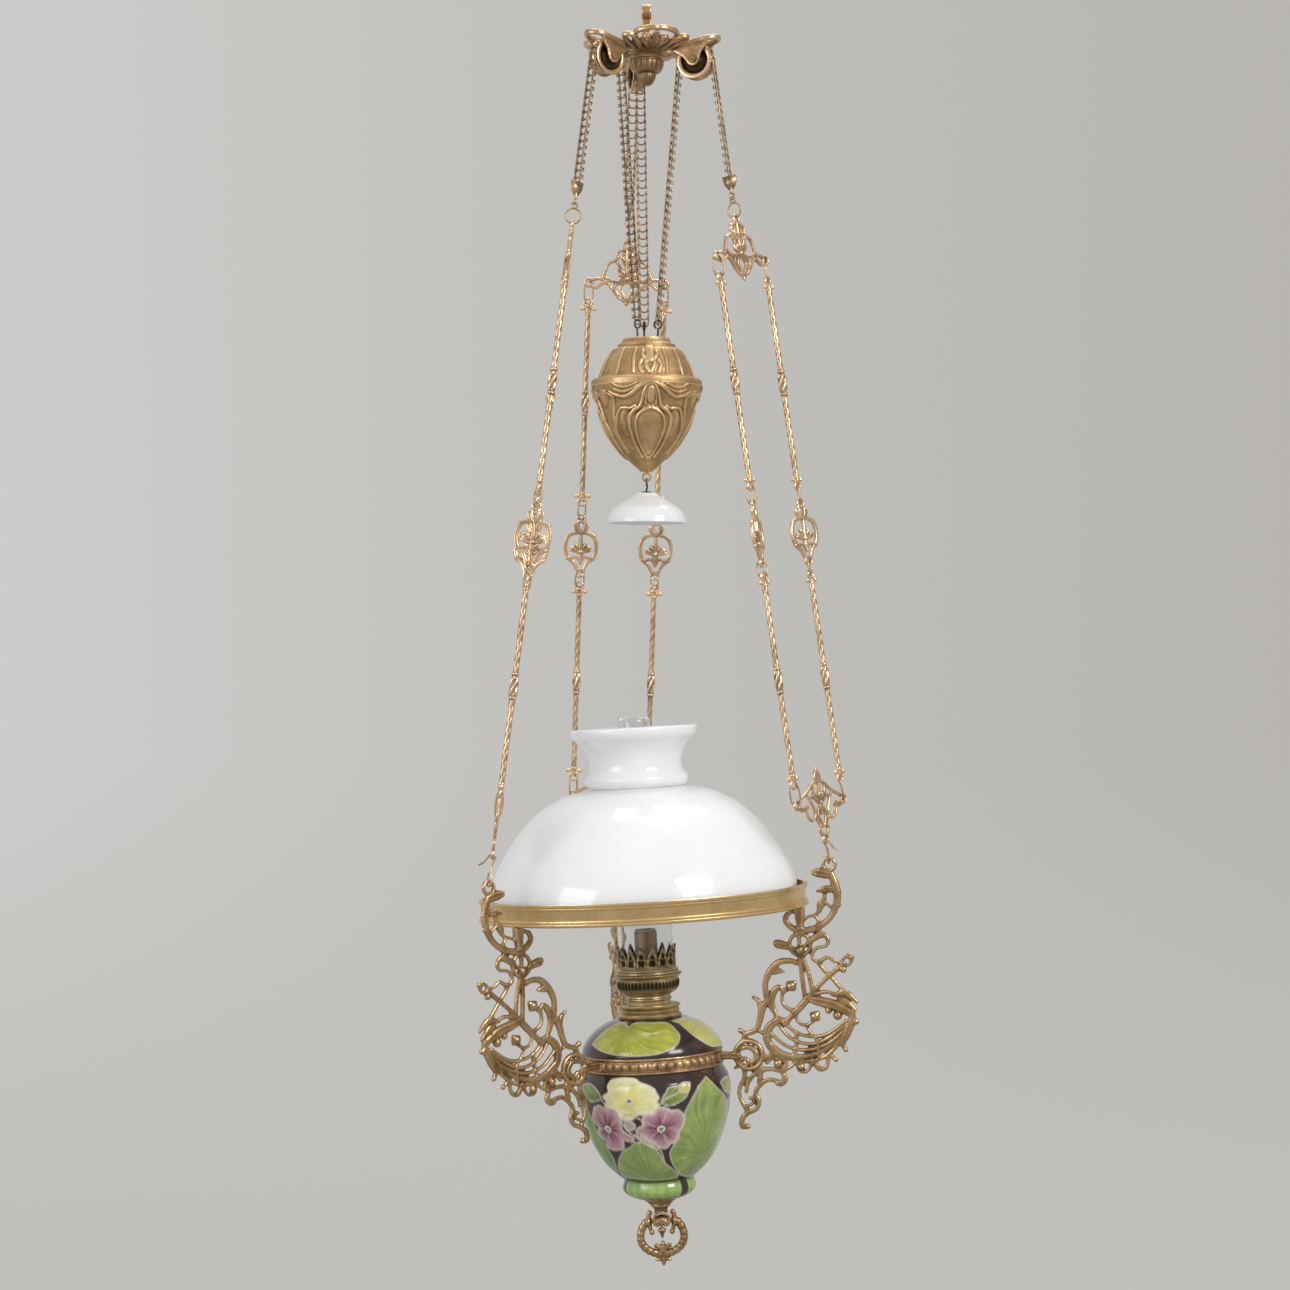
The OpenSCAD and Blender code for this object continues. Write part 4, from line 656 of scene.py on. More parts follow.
# Stems of the castings: points (across, up), then the widths at them; the last width runs on to the end.
# An arm's points count from the lamp's axis and from ARM_FOOT, those of the rest from a casting's middle.
ARM_SHIFT, ARM_FOOT = -1.5, -1017.1
ARM_STEMS = [
    ([[173, 181], [178, 181], [184.5, 179.5], [190, 178]], [5.2, 8.6, 8.1, 5.7]),
    ([[190, 179], [193, 170.5], [195, 159], [192.5, 147.5], [186, 137.5], [177, 131], [167, 127.5],
        [156, 127], [147.5, 130.5], [142.5, 137], [145, 143]],
        [5.7, 7.1, 6.7, 5.7, 5.2, 5.5, 5.7, 5.7, 5.2, 4.8, 4.3]),
    ([[191.5, 165], [183, 165], [175, 163.5]], [5.7, 6.7, 2]),
    ([[183, 164], [182, 156.5], [178, 150], [174.5, 142.5], [165.5, 139.5], [159, 136]],
        [2.6, 3.8, 7, 3, 2.6, 4]),
    ([[190.5, 146.5], [185, 150.5], [181, 154]], [2.9, 2.9, 2.6]),
    ([[171.5, 140], [175, 136], [173.5, 130]], [2.7, 3, 2.9]),
    ([[155.5, 126], [155, 116], [155, 102]], [4.6, 3.6, 4]),
    ([[134.5, 114.5], [140.5, 113], [148, 110], [155, 108.5]], [8.1, 6.9, 4, 3.8]),
    ([[155, 108], [160, 112], [165, 116]], [3.2]),
    ([[175.5, 131], [175.5, 124], [180.5, 122], [183.5, 116.5], [180.5, 111.5], [172, 110], [167.5, 105],
        [168, 99.5], [174, 97], [182, 101], [188.5, 97], [197, 96]],
        [3.8, 4.3, 4.3, 3.8, 3, 3, 3.3, 3.6, 3.8, 3.2, 2.9, 2.9]),
    ([[165, 116], [173, 121], [179.5, 122]], [5, 5.7, 4.3]),
    ([[155, 104], [156, 81.5], [158, 60]], [4.3, 4, 4]),
    ([[156, 105], [162.5, 86], [165.5, 66]], [4.3, 3.8, 3.8]),
    ([[197, 94], [181, 82], [164.5, 67], [148.5, 49]], [4.8, 4, 4, 4.4]),
    ([[172.5, 97], [176.5, 90.5], [185.5, 80.5], [196, 68]], [4.3, 3.6, 3.4, 4]),
    ([[151, 96.5], [147, 98], [142.5, 98.5], [134.5, 97.5], [127.5, 92], [122, 84.5], [119, 76],
        [119.5, 66]], [5, 4.6, 5, 5.7, 6.3, 5.9, 5.1, 5]),
    ([[129, 88.5], [134, 89], [138.5, 88.5]], [5.7, 4.8, 2]),
    ([[119, 67.5], [122, 58], [130, 44]], [5.1, 4.3, 4]),
    ([[120, 61.5], [114.5, 52.5], [112, 43], [107.5, 33.5], [97.5, 29.5], [94, 24]],
        [4.8, 6.4, 5.4, 4.8, 4.5, 4]),
    ([[106.5, 64], [111, 61.5], [114.5, 53.5]], [2.1, 4.3, 6.4]), ([[97, 30], [92, 33]], [3.6, 4]),
    ([[130, 44], [125.5, 58], [127, 69], [133, 74], [136, 70]], [3, 3.6, 6.4, 4.3, 3]),
    ([[109.5, 36.5], [112, 31], [121, 32]], [3, 2.8, 3]),
    ([[136, 71], [135, 60], [140, 53.5], [148.5, 51.5], [154, 56]], [3.2, 3.2, 3.6, 3.6, 4.6]),
    ([[136.5, 69], [144, 74]], [4.3]),
    ([[136.5, 39.5], [142.5, 45], [154, 56], [162, 64.5]], [6.6, 4.7, 6.4, 5.4]),
    ([[160, 62.5], [172, 59.5], [188, 55], [202, 46.5]], [4.8, 8.6, 9.1, 4.6]),
    ([[166, 66], [179, 68.5], [189.5, 63.5], [202, 48.5]], [2.8, 3.6, 2.8, 3.2]),
    ([[147, 48], [150.5, 39.5], [158, 37.5], [164, 41]], [3, 2.8, 3, 3.6]),
    ([[158, 37.5], [159.5, 32.5], [164.5, 26.5]], [2.6]),
    ([[139, 41], [130, 42.5], [120.5, 35.5], [118, 25.5], [121.5, 16], [129, 9.5]],
        [3.9, 6, 7.5, 7.5, 6, 4.9]),
    ([[136.5, 39.5], [148, 30], [164.5, 26.5], [180, 30], [196, 41]], [3.2]),
    ([[128.5, 40], [141, 25.5], [158.5, 19.5], [176.5, 24], [197, 38]], [3.2]),
    ([[121, 31], [136.5, 18], [154, 14], [171.5, 17], [187.5, 26], [199, 38]], [3.2]),
    ([[121.5, 19], [133.5, 10.5], [149, 7.5], [165.5, 10], [181.5, 18.5], [194, 29]],
        [4.7, 4.7, 4.5, 3.9, 3.4, 3.2]),
    ([[129, 9.5], [140, 5.5], [155.5, 3], [171, 6], [184.5, 15.5], [194, 28]],
        [4.3, 3.2, 3.2, 3.2, 3.4, 4.3]),
    ([[203, 48], [201.5, 39], [196.5, 28], [192, 19.5], [194.5, 14]], [5.4, 6.6, 6.4, 4.3, 4]),
    ([[147.5, 31], [146.5, 19.5], [143, 6]], [3.6, 3.2, 3.6]),
    ([[165.5, 26.5], [168, 19.5], [168, 6]], [3.2, 3.6, 3.2]),
    ([[185, 65], [195.5, 67.5], [201.5, 64.5], [208, 58]], [2.8, 5.8, 5.4, 2.8]),
    ([[192, 65], [200, 57], [206, 51]], [2.4, 4.3, 2.8]),
    ([[116.5, 2], [122, 6.5], [129, 7.5], [135.5, 1], [129, -5]], [3, 3.2, 4.3, 3.2, 3]),
    ([[110, -4], [121.5, -4], [130.5, -5.5], [139.5, -2], [147, 5]], [3.9, 3.9, 3.6, 3.2, 3.2]),
    ([[146, 4], [148, -5.5], [156, -6], [162, 4]], [2.8, 2.8, 3, 3]),
    ([[162, 4], [168, -4], [175, -2], [178, 8], [184, 5]], [4.3, 4.7, 3.6, 3.2, 3.2]),
    ([[87.5, 4], [88, 13], [94, 16.5], [102.5, 16], [107, 8], [102, 3]], [4.3, 4, 3.6, 4.3, 5.4, 4.3]),
    ([[101.5, 4], [102, -3], [107, -4]], [3.2]), ([[87, 9], [80.5, 9.5], [70.5, 9.5]], [7.5, 6.4, 7.5]),
    ([[90, 0], [84.5, -2.5]], [4, 2.8]),
    ([[128, -5], [116, -4], [104.5, -8], [96.5, -16.5], [94.5, -25]], [3.6, 3.9, 4.1, 3.9, 3.6]),
    ([[130.5, -5.5], [133.5, -13], [129.5, -18], [125.5, -17.5]], [3.6, 5.4, 4.7, 3.2]),
    ([[130, -16.5], [117.5, -14], [108.5, -19], [103.5, -26.5], [106.5, -34], [103.5, -41.5], [95.5, -45],
        [89, -50.5], [88.5, -58], [92.5, -58.5]], [3.9, 3.9, 3.9, 4.3, 4.3, 3.9, 4.3, 4.7, 4.7, 3.9]),
    ([[93, -2], [93.5, -11.5], [88, -21.5], [88, -31], [94, -43]], [3.6, 4.3, 3.6, 3.6, 3.9]),
    ([[93, -39.5], [100.5, -36], [101, -31], [97.5, -31.5]], [2.8, 2.8, 2.8, 3.2]),
    ([[109, -2], [109, -11], [107, -16]], [4.7, 4.7, 3.2]), ([[112, 6], [118, 8], [124, 12]], [5, 4, 5]),
]
# Rings: middle, radius and width. Buds: middle and radius.
ARM_HOOPS = [
    ((151.5, 137), 8, 4.2), ((155.5, 113.5), 10.3, 4), ((200.5, 97), 4, 3.2), ((99, 10), 13.4, 5.1),
    ((94.5, 3), 3.6, 3.9), ((188.5, 188.5), 5.9, 4.0),
]
ARM_BUDS = [
    ((155, 108), 4.6), ((205.5, 101), 2.7), ((196.5, 89), 3.4), ((144.5, 74.5), 5.2), ((166.5, 45.5), 5),
    ((206, 40), 3.2), ((180, 51), 3.6), ((188.5, 46), 4.6), ((127.5, 1.5), 4.6), ((150, -2), 3.6),
]
ARM_BEADS = [
    (179, 182.5, 3.2), (174, 181.5, 2.4), (197, 163, 2.2), (196.5, 150, 2.0), (188, 138.5, 2.0),
    (147, 72, 2.6), (141.8, 77, 2.6), (148, 77.5, 2.6), (169, 48.5, 2.6), (163.6, 47.5, 2.6),
    (168.8, 43, 2.6), (132.5, 115.5, 3.4), (92, 33, 2.8), (106.8, 64.5, 2.0), (205.2, 97.6, 2.0),
    (202.6, 103, 2.0), (194.5, 13.5, 2.6), (94, -58, 3.0), (126, -17.5, 2.6), (184.5, 4.6, 2.6),
]
YOKE_UP = [
    ([[34.5, 3], [31, 4], [26.5, 4.2], [21.5, 6]], [3, 3.4, 2.6, 3]),
    ([[35, -3], [30.8, -5], [27, -2.2], [21.5, 0.4], [16.5, -3], [11.4, -10], [6.3, -15], [0, -18]], [2.8]),
    ([[25, 3.5], [22, 12], [19, 19], [13, 22.5], [9.7, 25], [10.5, 29], [8, 32], [3, 34]], [3.2, 2.8]),
    ([[12, 22], [7, 16.5], [8.5, 11], [4, 7]], [2.6, 3.4, 3, 4]),
    ([[22, 5.5], [16, 3], [9, 1], [2, 3]], [3, 2.8, 4, 6]), ([[10, 0], [12, -5], [8, -12]], [2.6]),
    ([[0, 4], [6, -4], [3, -12], [0, -18]], [4, 2.8]), ([[3, 30], [5.5, 26], [2, 20]], [2.6, 3, 5]),
]
YOKE_LOW = [
    ([[34.5, -3], [30, -5], [26, -3], [21, -3]], [3, 4, 3, 3.4]),
    ([[24, -3], [23, -11], [17, -16], [11, -12], [12, -4], [16, 3]], [3, 2.8, 2.8, 2.8, 2.6, 3]),
    ([[35, 3], [30, 6], [23, 9], [15, 14], [8, 19], [2, 20]], [2.6, 3, 3, 2.8]),
    ([[22, 9], [16, 5], [10, 6], [3, 2]], [2.6, 3, 3, 6]), ([[10, 16], [9, 9], [5, 5]], [2.6, 3, 5]),
    ([[4, -6], [6, -13], [3, -20], [7, -25], [3, -31]], [4, 3, 3.4, 3, 3]),
    ([[12, -13], [7, -18], [2, -22]], [2.6, 2.6, 4]), ([[0, 31], [3, 25], [2, 20]], [2, 5, 4]),
]
MEDAL = [
    ([[3.5, 13.2], [8.5, 12.2], [12.6, 9.6], [15, 4.5], [15.6, -1.5], [14.6, -8], [11.6, -13.4],
        [7.6, -16.6], [5.2, -20.5], [3.4, -25.5]], [3.6, 4.2, 4.6, 4.4, 4.2, 4.6, 4.6, 4.2, 4, 3.4]),
    ([[11.6, -13.4], [6, -11.5], [2.2, -13.5], [0, -18]], [2.8, 2.8, 3.2, 3.6]),
    ([[10.8, -4.2], [6, -5.6], [0, -6.6]], [2.6, 3.8, 4.2]),
    ([[2.4, 14], [5.4, 18], [7.4, 22.4]], [4, 4.8, 2]), ([[0, 12.5], [2.8, 17], [3.6, 24.5]], [4, 3.8, 3]),
]
# How far each leg's two medallions have turned about their length, in degrees.
MEDAL_TURN = {"back": (0.0, 0.0), "left": (72.0, 80.0), "right": (20.0, -12.0)}


def shell_of_lobes(centre, radius, angles, thick, broad=1.0):
    """A fan of tapering lobes with a boss in the middle, as on a scallop."""
    lobes = []
    for angle in np.radians(angles):
        way = np.array([np.sin(angle), np.cos(angle)])
        reach = [np.array(centre) + way * radius * k for k in (0.0, 0.5, 0.85, 1.0)]
        wide = [2.4] + [radius * broad * k for k in (0.44, 0.52, 0.34)]
        lobes.append(stroke(reach, wide, thick, 4))
    return lobes + [ball((centre[0], 0.0, centre[1]), (radius * 0.24, thick * 0.62, radius * 0.24))]


def heavier(stems, share):
    """The same stems with their widths times a share."""
    return [(points, [share * w for w in widths]) for points, widths in stems]


def casting(stems, hoops, buds, thick, extra=(), both=False, voxel=0.6):
    """An openwork casting: rounded stems, rings and buds melted together."""
    shells = [stroke(p, w, thick, 6, 0.3 if max(w) >= 4.6 else 0.0) for p, w in stems]
    shells += [hoop(c, r, w, thick) for c, r, w in hoops]
    shells += [ball((c[0], 0.0, c[1]), (r, min(r * 0.95, thick * 0.62), r)) for c, r in buds]
    if both:
        shells += [mirrored(s) for s in shells]
    return fused(shells + list(extra), voxel)


class LAMP_OT_corona(bpy.types.Operator):
    """Builds the hanging loop, the openwork corona with its cheeks, the turned drop and the pulley wheels"""

    bl_idname = "lamp.corona"
    bl_label = "Corona"

    def execute(self, context):
        fork, deck, plate = 10.5, -40.5, 2.7
        shells = []
        for line in ([(AXIS, -43.5), (19, -43.5), (20.6, -42), (20.6, -39.5), (18, -38), (AXIS, -38)],
                     [(AXIS, -47), (16.5, -47), (18, -45.6), (18, -42), (AXIS, -42)]):
            shells.append(lathe(line, 64))

        def strap(points, widths, turn, rise, square=0.6):
            """A flat strap along a curve seen from above, rising with its distance from the axis."""
            plan = spline(points, 6)
            far = np.clip((np.linalg.norm(plan, axis=1) - 20.0) / 40.0, 0.0, 1.2)
            path = np.stack([plan[:, 0], plan[:, 1], deck + rise * far], 1)
            return tube(spun(path, turn), taper(widths, len(points)) / 2, plate, UPRIGHT, 12, square=square)

        for az in AZIMUTH:
            amid = az + np.pi / 3
            for s in (-1.0, 1.0):
                shells.append(strap([[14, s * 7], [26, s * fork], [50, s * fork], [62, s * fork]],
                                    [6, 4.6, 4.6, 4.6], az, 8.0))
                shells.append(strap([[20, s * 9], [32, s * 14], [44, s * 20], [50, s * 26], [45, s * 31],
                                     [34, s * 26], [20, s * 15]], [5, 4.4], az, 8.0))
                outline = spline([[27, -41], [27, -41], [46, -36], [64, -33.5], [62, -39], [58, -46],
                                  [56.5, -51], [54.6, -55.4], [50, -57.5], [45.4, -55.4], [41, -49.5],
                                  [34, -45], [27, -41]], 4)[:-1]
                low, high = sorted((s * 8.7, s * 11.5))
                shells.append(placed(prism(outline, low, high), lambda p, az=az: spun(p, az)))
                shells.append(strap([[16, s * 2], [24, s * 9], [33, s * 17], [44, s * 20.5], [54, s * 17],
                                     [60, s * 7], [60.5, 0]], [6, 5.4, 5, 5, 5, 4.8], amid, 12.0))
                shells.append(strap([[22, s * 2], [32, s * 6], [41, s * 11.5], [47, s * 10], [47, s * 6.5],
                                     [43, s * 6]], [7, 6, 4.4, 3.4, 3, 2.6], amid, 10.0, 0.9))
            bow = np.radians(np.linspace(-90, 90, 13))
            arc = np.stack([62 + fork * np.cos(bow), fork * np.sin(bow), -32.1 + 2.0 * np.cos(bow)], 1)
            shells.append(tube(spun(arc, az), 2.3, plate, UPRIGHT, 12, square=0.6))
            shells.append(strap([[18, 0], [34, 0], [48, 0], [56, 0]], [11, 12, 8, 2.5], amid, 11.0, 0.9))
        form = fused(shells, 0.9)
        brighter = (1.18, 1.2, 1.36)
        bright = metal_finish("corona_bronze", np.array(looks()[0].bronze) * brighter, 0.34, 0.8, 1.7)
        piece("corona_openwork", form, bright, "corona", ["corona_casting"], relief_of(form, *CAST_WEAR))

        start = np.radians(np.linspace(255, -75, 34))
        ring = np.stack([0 * start, 6.6 * np.cos(start), 6.6 * np.sin(start)], 1)
        strip = np.vstack([[[0, -1.25, -37.5], [0, -1.25, -25.0], [0, -1.3, -12.0]], ring,
                           [[0, 1.3, -12.0], [0, 1.25, -25.0], [0, 1.25, -37.5]]])
        band = tube(strip, 1.1, 4.8, ACROSS, 14, square=0.35)
        seat = lathe([(AXIS, -38.2), (8.0, -38.2), (8.4, -37.0), (7.6, -35.4), (5.0, -34.6), (AXIS, -34.6)],
                     48)
        form = fused([band, seat], 0.6)
        piece("hanging_strip", form, bright, "corona", ["hanging_loop"], relief_of(form, 4, 1.6))

        top = -47.0
        line = spline([(AXIS, 0), (16, 0), (16.4, -2), (15.8, -5), (14.6, -8.5), (13.2, -11.4), (9, -12.6),
                       (9, -14), (8.6, -16.5), (7.4, -19.5), (5.6, -22.5), (3, -24), (AXIS, -24.3)], 6)
        line = offset(line, 0, top)

        def gadroon(radius, angle, high):
            boss = np.exp(-(((high - top + 6.0) / 4.4) ** 2))
            knob = np.exp(-(((high - top + 18.5) / 4.0) ** 2))
            ribs = 0.05 * (boss + 0.6 * knob) * np.abs(np.cos(9 * angle))
            return radius * (1 + ribs * np.clip(radius / 6, 0, 1))

        form = lathe(np.vstack([line, [[AXIS, top - 12.0]]]), 144, gadroon)
        piece("corona_knob", form, bronze(), "corona", ["corona_drop"], relief_of(form, 2, 1.6))
        dress(bronze(), "pulley_axles")
        bore, rim, half = 2.55, PITCH_R + 1.0, 6.6
        side = np.array([[bore, half], [5.4, half], [6.0, 4.6], [12.4, 4.4], [13.2, half - 0.4], [14.0, half],
                         [rim - 0.3, half], [rim, half - 0.2], [rim, half - 0.5], [15.3, half - 0.7]])
        wheel = lathe(np.vstack([side, (side * [1, -1])[::-1]]), 96)
        far = np.linalg.norm(wheel[0][:, :2], axis=1)
        # Painted shade: the wheel's web and hub, set back between the cheeks, are darkened, and the rim's
        # faces are a little lighter.
        relief = np.where((far > 13.0) & (np.abs(wheel[0][:, 2]) > 5.0), 0.3, -0.55)
        wheel = placed(wheel, lambda p: p[:, [0, 2, 1]] * [1, 1, -1] + [PULLEY_R, 0.0, PULLEY_Z])
        for leg, az in zip(LEGS, AZIMUTH):
            form = placed(wheel, lambda p, az=az: spun(p, az))
            piece("grooved_wheel_" + leg, form, bright, "pulley_" + leg, ["pulley_" + leg], relief)
        return {"FINISHED"}


def chain_link(wire, pitch):
    """One link of a ladder chain: a bent wire with a bowed rung below, two legs that spread upwards and two
    hooks that close round the next rung."""
    half = [(4.5, 1.5, pitch - 1.0), (4.5, 1.7, pitch + 1.3), (4.4, -0.6, pitch + 1.6),
            (4.1, -0.9, pitch * 0.62), (3.3, -0.3, 0.9), (2.2, 0.2, -0.3)]
    half = np.array(half)
    line = np.vstack([half, [[0.0, 0.5, -0.7]], (half * [-1, 1, 1])[::-1]])
    return tube(line, wire / 2, wire / 2, (0.02, 1.0, 0.05), 4)


def chain_run(length, wire):
    """Links set one above another over a length, in the chain's own frame."""
    count = max(2, int(round(length / CHAIN_PITCH)))
    step = length / count
    points, faces = chain_link(wire, step)
    spots = points[None] + np.array([0.0, 0.0, step])[None, None] * np.arange(count)[:, None, None]
    shift = np.arange(count)[:, None, None] * len(points)
    return spots.reshape(-1, 3), [(f[None] + shift).reshape(-1, f.shape[1]) for f in faces]


class LAMP_OT_chains(bpy.types.Operator):
    """Builds the ladder chains over the pulleys, down to the legs and down to the counterweight"""

    bl_idname = "lamp.chains"
    bl_label = "Chains"

    def execute(self, context):
        wire = looks()[1].chain_wire * 1000
        finish = metal_finish("chain_brass", np.array(looks()[0].gilt) * 0.8, 0.36, 0.8)
        lean = np.arctan2(PULLEY_R - PITCH_R - HOOK_R, PULLEY_Z - HOOK_Z)
        arcs = []
        for i, leg in enumerate(LEGS):
            _, _, length = leg_frame(i)
            low = LEVEL["tab_top"] + HOOK_MORE[i] - 3.2
            run = placed(chain_run(length - low - 1.0, wire), lambda p: p + [0, 0, low + 0.4])
            run = placed(run, lambda p, i=i: on_leg(p, i))
            ends = on_leg(np.array([[0, 0, length - 2.0], [0, 0, low + 2.0]]), i)
            piece("ladder_chain_outer_" + leg, run, finish, ("corona", "lamp"), ["chain_outer_" + leg],
                  between=ends)
            foot = polar(HOOK_R, AZIMUTH[i], HOOK_Z)
            head = polar(PULLEY_R - PITCH_R * np.cos(lean), AZIMUTH[i], PULLEY_Z + PITCH_R * np.sin(lean))
            up = unit(head - foot)
            axle = axle_of(i)
            axes = np.stack([axle, np.cross(up, axle), up])
            span = np.linalg.norm(head - foot)
            run = placed(chain_run(span - 1.0, wire), lambda p: foot + (p * [1, -1, 1]) @ axes)
            run = outward(run)
            ends = foot + np.array([[0, 0, span - 2.0], [0, 0, 2.0]]) @ axes
            piece("ladder_chain_inner_" + leg, run, finish, ("corona", "counterweight"),
                  ["chain_inner_" + leg], between=ends)
            turn = np.pi - CHAIN_SLOPE - lean

            def bend(p, i=i):
                around = CHAIN_SLOPE + p[:, 2] / PITCH_R
                out = PITCH_R + p[:, 1]
                local = np.stack([PULLEY_R + out * np.cos(around), p[:, 0],
                                  PULLEY_Z + out * np.sin(around)], 1)
                return spun(local, AZIMUTH[i])

            arcs.append(outward(placed(chain_run(turn * PITCH_R, wire), bend)))
        piece("ladder_chain_pulleys", joined(arcs), finish, "corona", ["pulley_chains"])
        return {"FINISHED"}


def oval(x, low, high, wire, turn):
    """A long wire link standing beside the leg's line, its plane turned about its length."""
    t, half_w = turns(36), 5.0
    wide = np.sign(np.cos(t)) * np.abs(np.cos(t)) ** 0.9 * half_w
    tall = (low + high) / 2 + (high - low) / 2 * np.sign(np.sin(t)) * np.abs(np.sin(t)) ** 0.8
    path = np.stack([wide * np.sin(turn) + x, wide * np.cos(turn), tall], 1)
    return tube(path, wire / 2, wire / 2, (np.cos(turn), -np.sin(turn), 0.0), 8, closed=True)


def rope_rod(low, high, lay, depth):
    """A twisted rod: three strands turning once in a lay, plain near its ends, with a leafy knop in the
    middle and an eye with two side balls at each end."""
    z = np.linspace(low + 4.5, high - 4.5, 260)[:, None]
    phi = turns(24)[None]
    middle = (low + high) / 2
    off = np.abs(z - middle)
    fade = np.clip((np.minimum(z - low, high - z) - 8.0) / 4.0, 0.0, 1.0)
    fade = fade * np.clip((off - 12.0) / 2.0, 0.0, 1.0)
    leaf = np.clip(1 - (off / 9.6) ** 4, 0.0, 1.0)
    beads = 1.6 * np.exp(-(((off - 11.0) / 1.1) ** 2))
    knop = leaf * (1.1 + 0.8 * np.cos(4 * (phi - 0.14 * (z - middle)))) + beads
    radius = 2.55 * (1 + depth * fade * np.cos(3 * (phi - 2 * np.pi * z / lay))) + knop
    grid = np.stack([radius * np.cos(phi), radius * np.sin(phi), z + 0 * phi], -1)
    points, faces = lattice(grid, False, True)
    caps = np.arange(24)
    shells = [outward((points, faces + [caps[None, ::-1], (caps + len(points) - 24)[None]]))]
    turn = turns(28)
    for end, way in ((low, 1.0), (high, -1.0)):
        ring = np.stack([3.9 * np.cos(turn), 0 * turn, end + 4.1 * np.sin(turn)], 1)
        shells.append(tube(ring, 1.3, 1.4, DEEP, 8, closed=True))
        bar = np.array([[-6.2, 0, end + way * 5.8], [0, 0, end + way * 5.8], [6.2, 0, end + way * 5.8]])
        shells.append(tube(bar, [1.5, 1.9, 1.5], [1.4, 1.9, 1.4], DEEP, 8))
        for s in (-1.0, 1.0):
            shells.append(ball((s * 6.2, 0.0, end + way * 5.8), (2.3, 2.2, 2.4), 6, 10))
        shells.append(ball((0.0, 0.0, end + way * 8.6), (3.5, 3.5, 1.8), 6, 14))
    return joined(shells)


